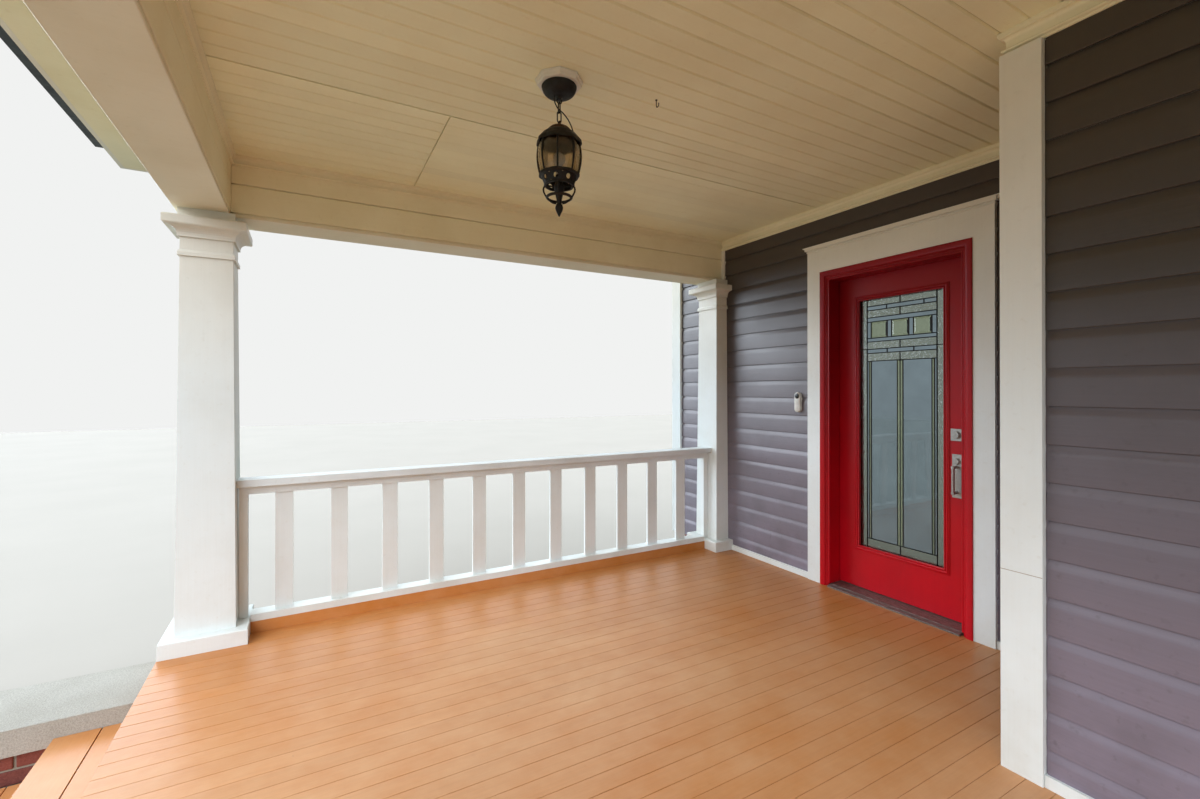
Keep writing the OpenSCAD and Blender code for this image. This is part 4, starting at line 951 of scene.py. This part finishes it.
shingles = Shape()
slope_rows = math.ceil((ridge_x + drip) / cos_pitch / tab_h)
roof_right = RIGHT_COLUMN + drip
shingled(shingles, (-drip, -drip, roof_top), (0, -sin_pitch, cos_pitch), roof_right + drip, slope_rows, 71,
         [((-drip + 3, -drip, 0), (-1, 1, 0)), ((roof_right - 3, -drip, 0), (1, 1, 0))])
shingled(shingles, (-drip, WALL_BACK, roof_top), (-sin_pitch, 0, cos_pitch), WALL_BACK + drip, slope_rows, 72,
         [((-drip, -drip + 3, 0), (1, -1, 0)), ((0, WALL_BACK, 0), (0, 1, 0)),
          ((ridge_x - 3, 0, 0), (1, 0, 0))])
shingled(shingles, (roof_right, -drip, roof_top), (sin_pitch, 0, cos_pitch), ROOM_BACK + drip, slope_rows, 73,
         [((roof_right, -drip + 3, 0), (-1, -1, 0)), ((0, ROOM_BACK, 0), (0, 1, 0)),
          ((ridge_x + 3, 0, 0), (-1, 0, 0))])
shingles.make("roof_shingles", SHINGLE, "shingle", soft=0)

caps = Shape()
cap_half, cap_t = 130, 4
for side in (-1, 1):
    along = Vector((-side, 1, tan_pitch)).normalized()
    wings = [Vector((-side, 0, 0)), Vector((0, 1, 0))]
    wings = [(w - along * w.dot(along)).normalized() * cap_half for w in wings]
    up = (Vector((0, -sin_pitch, cos_pitch)) + Vector((side * sin_pitch, 0, cos_pitch))).normalized()
    up = (up - along * up.dot(along)).normalized()
    across = up.cross(along)
    ends = sorted((w.dot(across), w.dot(up)) for w in wings)
    profile = [ends[0], (0, 0), ends[1], (ends[1][0], ends[1][1] + cap_t), (0, cap_t + 1),
               (ends[0][0], ends[0][1] + cap_t)]
    cap = Shape().sweep(profile, [(0, 0, 8), (260, 0, 3)], (0, 0, 1))
    place = Matrix((along, across, up)).transposed().to_4x4()
    corner = -drip if side < 0 else roof_right
    place.translation = Vector((corner, -drip, roof_top))
    caps.rows(cap, SHINGLE, place, along=33, pitch=140, seed=75 + side, shift=(2, 1, 0), turn=0.002,
              trims=[((ridge_x + side, 0, 0), (-side, 0, 0)), ((corner + side * 10, 0, 0), (side, 0, 0)),
                     ((0, -drip - 10, 0), (0, -1, 0))])
caps.make("hip_shingles", SHINGLE, "shingle", replaces=["roof_caps"], soft=0)

# Gutter: a rolled front edge and hanger straps

gutter_end, gutter_y, gutter_z = 372, -546, 2669
rolled = Shape()
rolled.tube([(-gutter_end, gutter_y, gutter_z), (RIGHT_COLUMN + gutter_end, gutter_y, gutter_z)], 5.5, 12)
strap = Shape().block((0, gutter_y - 2, gutter_z - 7), (22, gutter_y + 76, gutter_z - 4), 0.5)
rolled.rows(strap, GUTTER, Matrix.Translation((-300, 0, 0)), along=11, pitch=598, seed=81)
rolled.make("gutter_edge", GUTTER, "gutter_metal")

# Lantern

LAMP = Vector((1500, 1321, 0))
LOOP_Z, LINK, WIRE, LOOP_R = 2440, 38, 2.5, 10
hook_z = LOOP_Z - 2 * LINK


def hoop(shape, outline, z, plane):
    """A closed wire of one outline that hangs in the XZ or the YZ plane."""
    path = [LAMP + Vector((a, 0, z + b) if plane == "xz" else (0, a, z + b)) for a, b in outline]
    shape.tube(path, WIRE, 12, closed=True)


LOOP = arc(0, 0, LOOP_R, 0, 360, 32)[:-1]


def pierced(shape, high, low, count, hole, wall=3.0, steps=16):
    """A gallery round the lamp between two rings, each (radius, height), with a round hole in each panel."""
    half = math.pi / count
    reach = (high[1] - low[1]) / 2
    middle = (high[1] + low[1]) / 2
    spread = (high[0] + low[0]) / 2
    for panel in range(count):
        shells = []
        for inset in (0, wall):
            outer, inner = [], []
            for i in range(steps):
                t = 2 * math.pi * (i + 0.5) / steps
                square = max(abs(math.cos(t)), abs(math.sin(t)))
                for ring, turn, up in ((outer, half * math.cos(t) / square, reach * math.sin(t) / square),
                                       (inner, hole / spread * math.cos(t), hole * math.sin(t))):
                    r = spread + (high[0] - low[0]) * up / reach / 2 - inset
                    a = turn + 2 * half * panel + math.radians(9)
                    spot = Vector((r * math.cos(a), r * math.sin(a), middle + up))
                    ring.append(shape.mesh.verts.new(LAMP + spot))
            shells.append((outer, inner))
        (out_a, in_a), (out_b, in_b) = shells
        for one, two in ((out_a, in_a), (in_a, in_b), (in_b, out_b), (out_b, out_a)):
            for i in range(steps):
                k = (i + 1) % steps
                shape.mesh.faces.new((one[i], one[k], two[k], two[i]))


block = Shape()
for profile in ([(0, 2505), (86, 2505), (89, 2508), (90, 2519), (0, 2519)],
                [(0, 2518), (91, 2518), (95, 2521.5), (95, 2530.5), (0, 2530.5)]):
    block.turn(profile, 8)
bmesh.ops.rotate(block.mesh, verts=block.mesh.verts[:], cent=(0, 0, 0),
                 matrix=Matrix.Rotation(math.radians(22.5), 3, "Z"))
bmesh.ops.translate(block.mesh, verts=block.mesh.verts[:], vec=LAMP)
block.make("ceiling_block", WHITE, "trim_white", replaces=["lantern_block"], soft=0)

canopy = Shape()
canopy.turn([(0, 2505), (68, 2505), (70, 2502), (69, 2497)] + arc(14, 2495, 53, 8, 85, 11, -32 / 53)
            + [(11, 2460), (8, 2457), (7, 2452), (0, 2451)], 72, centre=LAMP)
hoop(canopy, LOOP, LOOP_Z - WIRE + LOOP_R - 0.1, "yz")
canopy.make("lantern_rose", CAST, "lantern_metal", replaces=["lantern_canopy"], soft=50)

chain = Shape()
half = (LINK - 16 + 2 * WIRE) / 2
for z, plane in ((LOOP_Z - LINK / 2, "xz"), (LOOP_Z + 0.1 - 1.5 * LINK, "yz")):
    hoop(chain, arc(0, half, 8, 0, 180, 12) + arc(0, -half, 8, 180, 360, 12), z, plane)
chain.make("chain_links", CAST, "lantern_metal", body="chain", replaces=["lantern_chain"], soft=60)

# The lead's route is the part's own, run on into the canopy and the cap.
lead = Shape()
lead_route = [(-22, 2464), (-22, 2455), (-21, 2444), (-17, 2433), (-10, 2422), (-1, 2413), (8, 2409),
              (17, 2404), (27, 2396), (38, 2385), (47, 2372), (55, 2357), (61, 2341), (64, 2324),
              (65, 2312)]
lead.tube([LAMP + Vector((0, y, z)) for y, z in lead_route], 2.5, 12)
bends = ("chain", "lantern", LAMP + Vector((0, 8, 2409)), LAMP + Vector((0, 61, 2335)))
lead.make("lamp_cable", LEAD_BLACK, "lead_plastic", body=bends, replaces=["lamp_lead"], soft=60)


def belly(t):
    """The globe's radius, from its top at 0 to its foot at 1."""
    return 74 + 11.5 * math.sin(math.pi * t) - 2 * t


def corners(a, deep):
    """How far a ring of eight hollow sides stands out at an angle."""
    return 1 + deep * abs(math.cos(4 * (a - math.radians(9)))) ** 1.5


ring_z = hook_z + 0.2 + WIRE - LOOP_R
top = ring_z - LOOP_R + 1
dome = Shape()
dome_line = ([(0, top), (10, top), (13, top + 3), (16, top + 3)] + arc(15, 2317, 33, 78, 0, 13, 29 / 33)
             + [(50, 2314), (50, 2309), (45, 2309)] + arc(12, 2311, 31, 0, 78, 6, 28 / 31) + [(0, 2339)])
dome.turn(dome_line, 96, lambda a, z: 1 + 0.07 * abs(math.cos(8 * a)) * min(1, max(0, (top - z) / 30)), LAMP)
hoop(dome, LOOP, ring_z, "xz")
dome.make("lantern_dome", CAST_DOME, "lantern_metal", body="lantern", replaces=["lantern_cap"], soft=50)

collar = Shape()
collar_line = [(46, 2313), (52, 2319), (60, 2317), (68, 2310), (75, 2300), (81, 2291), (84, 2287), (84, 2274),
               (81, 2273), (79, 2284), (71, 2296), (63, 2307), (52, 2312)]
collar.turn(collar_line, 96, lambda a, z: corners(a, 0.07 * (2322 - z) / 36), LAMP)
collar.make("lantern_collar", CAST, "lantern_metal", body="lantern", soft=40)

globe_top, globe_foot = 2296, 2150
deep = globe_top - globe_foot
globe = Shape()
steps = 14
shell = [(belly(i / steps), globe_top - deep * i / steps) for i in range(steps + 1)]
shell += [(r - 3, z) for r, z in reversed(shell)]
globe.turn(shell, 120, lambda a, z: 1 + 0.006 * math.cos(24 * a), LAMP)
globe.make("ribbed_globe", SMOKY, "amber_glass", body="lantern", replaces=["lantern_glass"], soft=80)

cage = Shape()
bar_line = [(belly(i / steps) + 2.6, 0, globe_top - deep * i / steps) for i in range(steps + 1)]
bar = Shape().tube(bar_line, 3.6, 8)
centred = Matrix.Translation(LAMP)
cage.rows(bar, CAST, centred @ Matrix.Rotation(math.radians(16), 4, "Z"), along=8, round=math.pi / 4)
cage.turn([(66, 2154), (74, 2157), (78, 2154), (78, 2148), (73, 2145), (66, 2145)], 96,
          lambda a, z: corners(a, 0.05), LAMP)
pierced(cage, (72, 2147), (58, 2112), 8, 9.5)
cage.turn([(51, 2115), (59, 2115), (60, 2111), (57, 2107), (51, 2107)], 96,
          lambda a, z: corners(a, 0.03), LAMP)
cage.turn([(44, 2066), (50, 2068), (54, 2064), (51, 2059), (45, 2058)], 96, None, LAMP)
finial = [(0, 2152), (13, 2152), (15, 2148), (16, 2116), (20, 2112), (20, 2098), (18, 2084), (14, 2070),
          (11, 2056), (9, 2046), (10, 2038), (14, 2030), (16, 2022), (14, 2013), (10, 2004), (6, 1996),
          (3, 1989), (0, 1986)]
cage.turn(finial, 40, None, LAMP)
arm = Shape().tube([(12, 0, 2106), (36, 0, 2109), (54, 0, 2110), (61, 0, 2104), (63, 0, 2095), (61, 0, 2084),
                    (55, 0, 2072), (46, 0, 2059), (37, 0, 2050), (25, 0, 2042), (12, 0, 2039)], 3.4, 8)
cage.rows(arm, CAST, centred @ Matrix.Rotation(math.radians(61), 4, "Z"), along=4, round=math.pi / 2)
cage.make("cage_and_finial", CAST, "lantern_metal", body="lantern", replaces=["lantern_cage"], soft=50)

bulb = Shape()
bulb.turn([(0, 2151), (9, 2151), (13, 2155), (13, 2185), (14, 2192), (20, 2200), (24, 2212), (23, 2224),
           (17, 2234), (8, 2239), (0, 2240)], 48, None, LAMP)
bulb.make("lamp_bulb", FROSTED, "bulb_glass", body="lantern", replaces=["lantern_bulb"], soft=60)

# A screw hook in the ceiling boards

hook = Shape()
spot = Vector((1570, 1742, 0))
hook.turn([(0, 2532), (5, 2532), (5, 2530), (2, 2529), (0, 2529)], 24, None, spot)
hook_line = [(0, 2532), (0, 2514)] + arc(9, 2506, 9, 170, 390, 11)
hook.tube([spot + Vector((x, 0, z)) for x, z in hook_line], 1.9, 10)
hook.make("ceiling_hook", CAST, "lantern_metal")

# Finishes of the parts that stay as they are

finish_of = {
    FLOOR: ["rail_shoes"], TREAD: ["step_treads", "risers"], TIMBER: ["deck_frame", "stringers"],
    CONCRETE: ["cheek_caps"],
    WHITE: ["columns", "column_capitals", "column_bases", "railings", "fascia", "corner_boards",
            "wall_strips", "door_casing"],
    WHITE_RAIL: ["rail_caps"], BEIGE_BEAM: ["eave_soffit"], GUTTER: ["gutter"], SHINGLE: ["roof"],
    PLASTER: ["door_wall_left", "door_wall_right", "door_wall_over", "return_wall", "room_wall"],
    RED: ["door"], SILL: ["threshold"], NICKEL: ["door_hardware"], BRONZE: ["door_hinges", "jamb_hinges"],
}
for finish, names in finish_of.items():
    for name in names:
        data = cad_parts[name].data
        data.materials.clear()
        data.materials.append(finish)

# Camera, from the photograph's own straight edges

photo_width, focal_pixels, sensor = 1200, 526.6, 36.0
optics = bpy.data.cameras.new("camera")
optics.sensor_fit = "HORIZONTAL"
optics.sensor_width = sensor
optics.lens = focal_pixels / photo_width * sensor
optics.shift_y = -10.9 / photo_width
camera = bpy.data.objects.new("camera", optics)
bpy.context.collection.objects.link(camera)
yaw, tilt = math.radians(29.05), math.radians(0.17)
look = Vector((-math.cos(yaw) * math.cos(tilt), math.sin(yaw) * math.cos(tilt), math.sin(tilt)))
camera.location = (0.7086, -0.9473, 1.747)
camera.rotation_euler = look.to_track_quat("-Z", "Y").to_euler()
bpy.context.scene.camera = camera

# Floor and light

reach = 30
ground = bpy.data.meshes.new("studio_floor")
ground.from_pydata([(-reach, -reach, 0), (reach, -reach, 0), (reach, reach, 0), (-reach, reach, 0)], [],
                   [(0, 1, 2, 3)])
floor = bpy.data.objects.new("studio_floor", ground)
bpy.context.collection.objects.link(floor)
# The floor is pale to the eye and duller in what it throws back, so that the undersides aren't lit too much.
pale, tree, shader, where = start("studio_floor", 0.9)
cloud = speckle(tree, where, 0.6, 0.3, 0.7)
tone = add(tree, "ShaderNodeMix", {0: cloud, 6: linear("B2ABA3"), 7: linear("AEA79F")},
           data_type="RGBA").outputs[2]
path = add(tree, "ShaderNodeLightPath").outputs
seen = add(tree, "ShaderNodeMath", {0: path["Is Camera Ray"], 1: path["Is Transmission Ray"]},
           operation="MAXIMUM").outputs[0]
tone = add(tree, "ShaderNodeMix", {0: seen, 6: linear("727267"), 7: tone}, data_type="RGBA").outputs[2]
tree.links.new(tone, shader.inputs["Base Color"])
ground.materials.append(pale)

world = bpy.data.worlds.new("studio")
bpy.context.scene.world = world
world.use_nodes = True
tree = world.node_tree
tree.nodes.clear()
path = add(tree, "ShaderNodeLightPath").outputs
seen = add(tree, "ShaderNodeMath", {0: path["Is Camera Ray"], 1: path["Is Transmission Ray"]},
           operation="MAXIMUM").outputs[0]
# The sky is dim at the horizon and bright higher up.
direction = add(tree, "ShaderNodeTexCoord").outputs["Generated"]
height = add(tree, "ShaderNodeSeparateXYZ", {0: direction}).outputs[2]
level = add(tree, "ShaderNodeMapRange", {"Value": height, "From Min": 0.1, "From Max": 0.5, "To Min": 0.3,
                                         "To Max": 1.35},
            interpolation_type="SMOOTHSTEP").outputs[0]
glow = add(tree, "ShaderNodeBackground", {"Color": (0.82, 0.94, 1.0, 1), "Strength": level}).outputs[0]
bright = add(tree, "ShaderNodeMath", {0: level, 1: 2.0}, operation="MULTIPLY").outputs[0]
mirrored = add(tree, "ShaderNodeBackground", {"Color": (0.9, 0.96, 1.0, 1), "Strength": bright}).outputs[0]
backdrop = add(tree, "ShaderNodeBackground", {"Color": linear("F1F2F1"), "Strength": 1.0}).outputs[0]
mixed = add(tree, "ShaderNodeMixShader", {0: path["Is Glossy Ray"], 1: glow, 2: mirrored}).outputs[0]
mixed = add(tree, "ShaderNodeMixShader", {0: seen, 1: mixed, 2: backdrop}).outputs[0]
add(tree, "ShaderNodeOutputWorld", {"Surface": mixed})


def daylight(name, source, strength, spread, colour):
    """Soft daylight from one part of the sky."""
    light = bpy.data.lights.new(name, "SUN")
    light.energy, light.angle, light.color = strength, math.radians(spread), linear(colour)[:3]
    made = bpy.data.objects.new(name, light)
    bpy.context.collection.objects.link(made)
    made.rotation_euler = Vector(source).to_track_quat("Z", "Y").to_euler()


daylight("front_sky", (0.5, -0.9, 0.6), 2.1, 46, "F8FBFF")
daylight("left_sky", (-1.0, -0.65, 0.42), 2.3, 46, "E6F2FF")
daylight("right_sky", (1.0, -0.3, 0.5), 1.2, 50, "EEF4FF")

bpy.context.scene.view_settings.view_transform = "Standard"
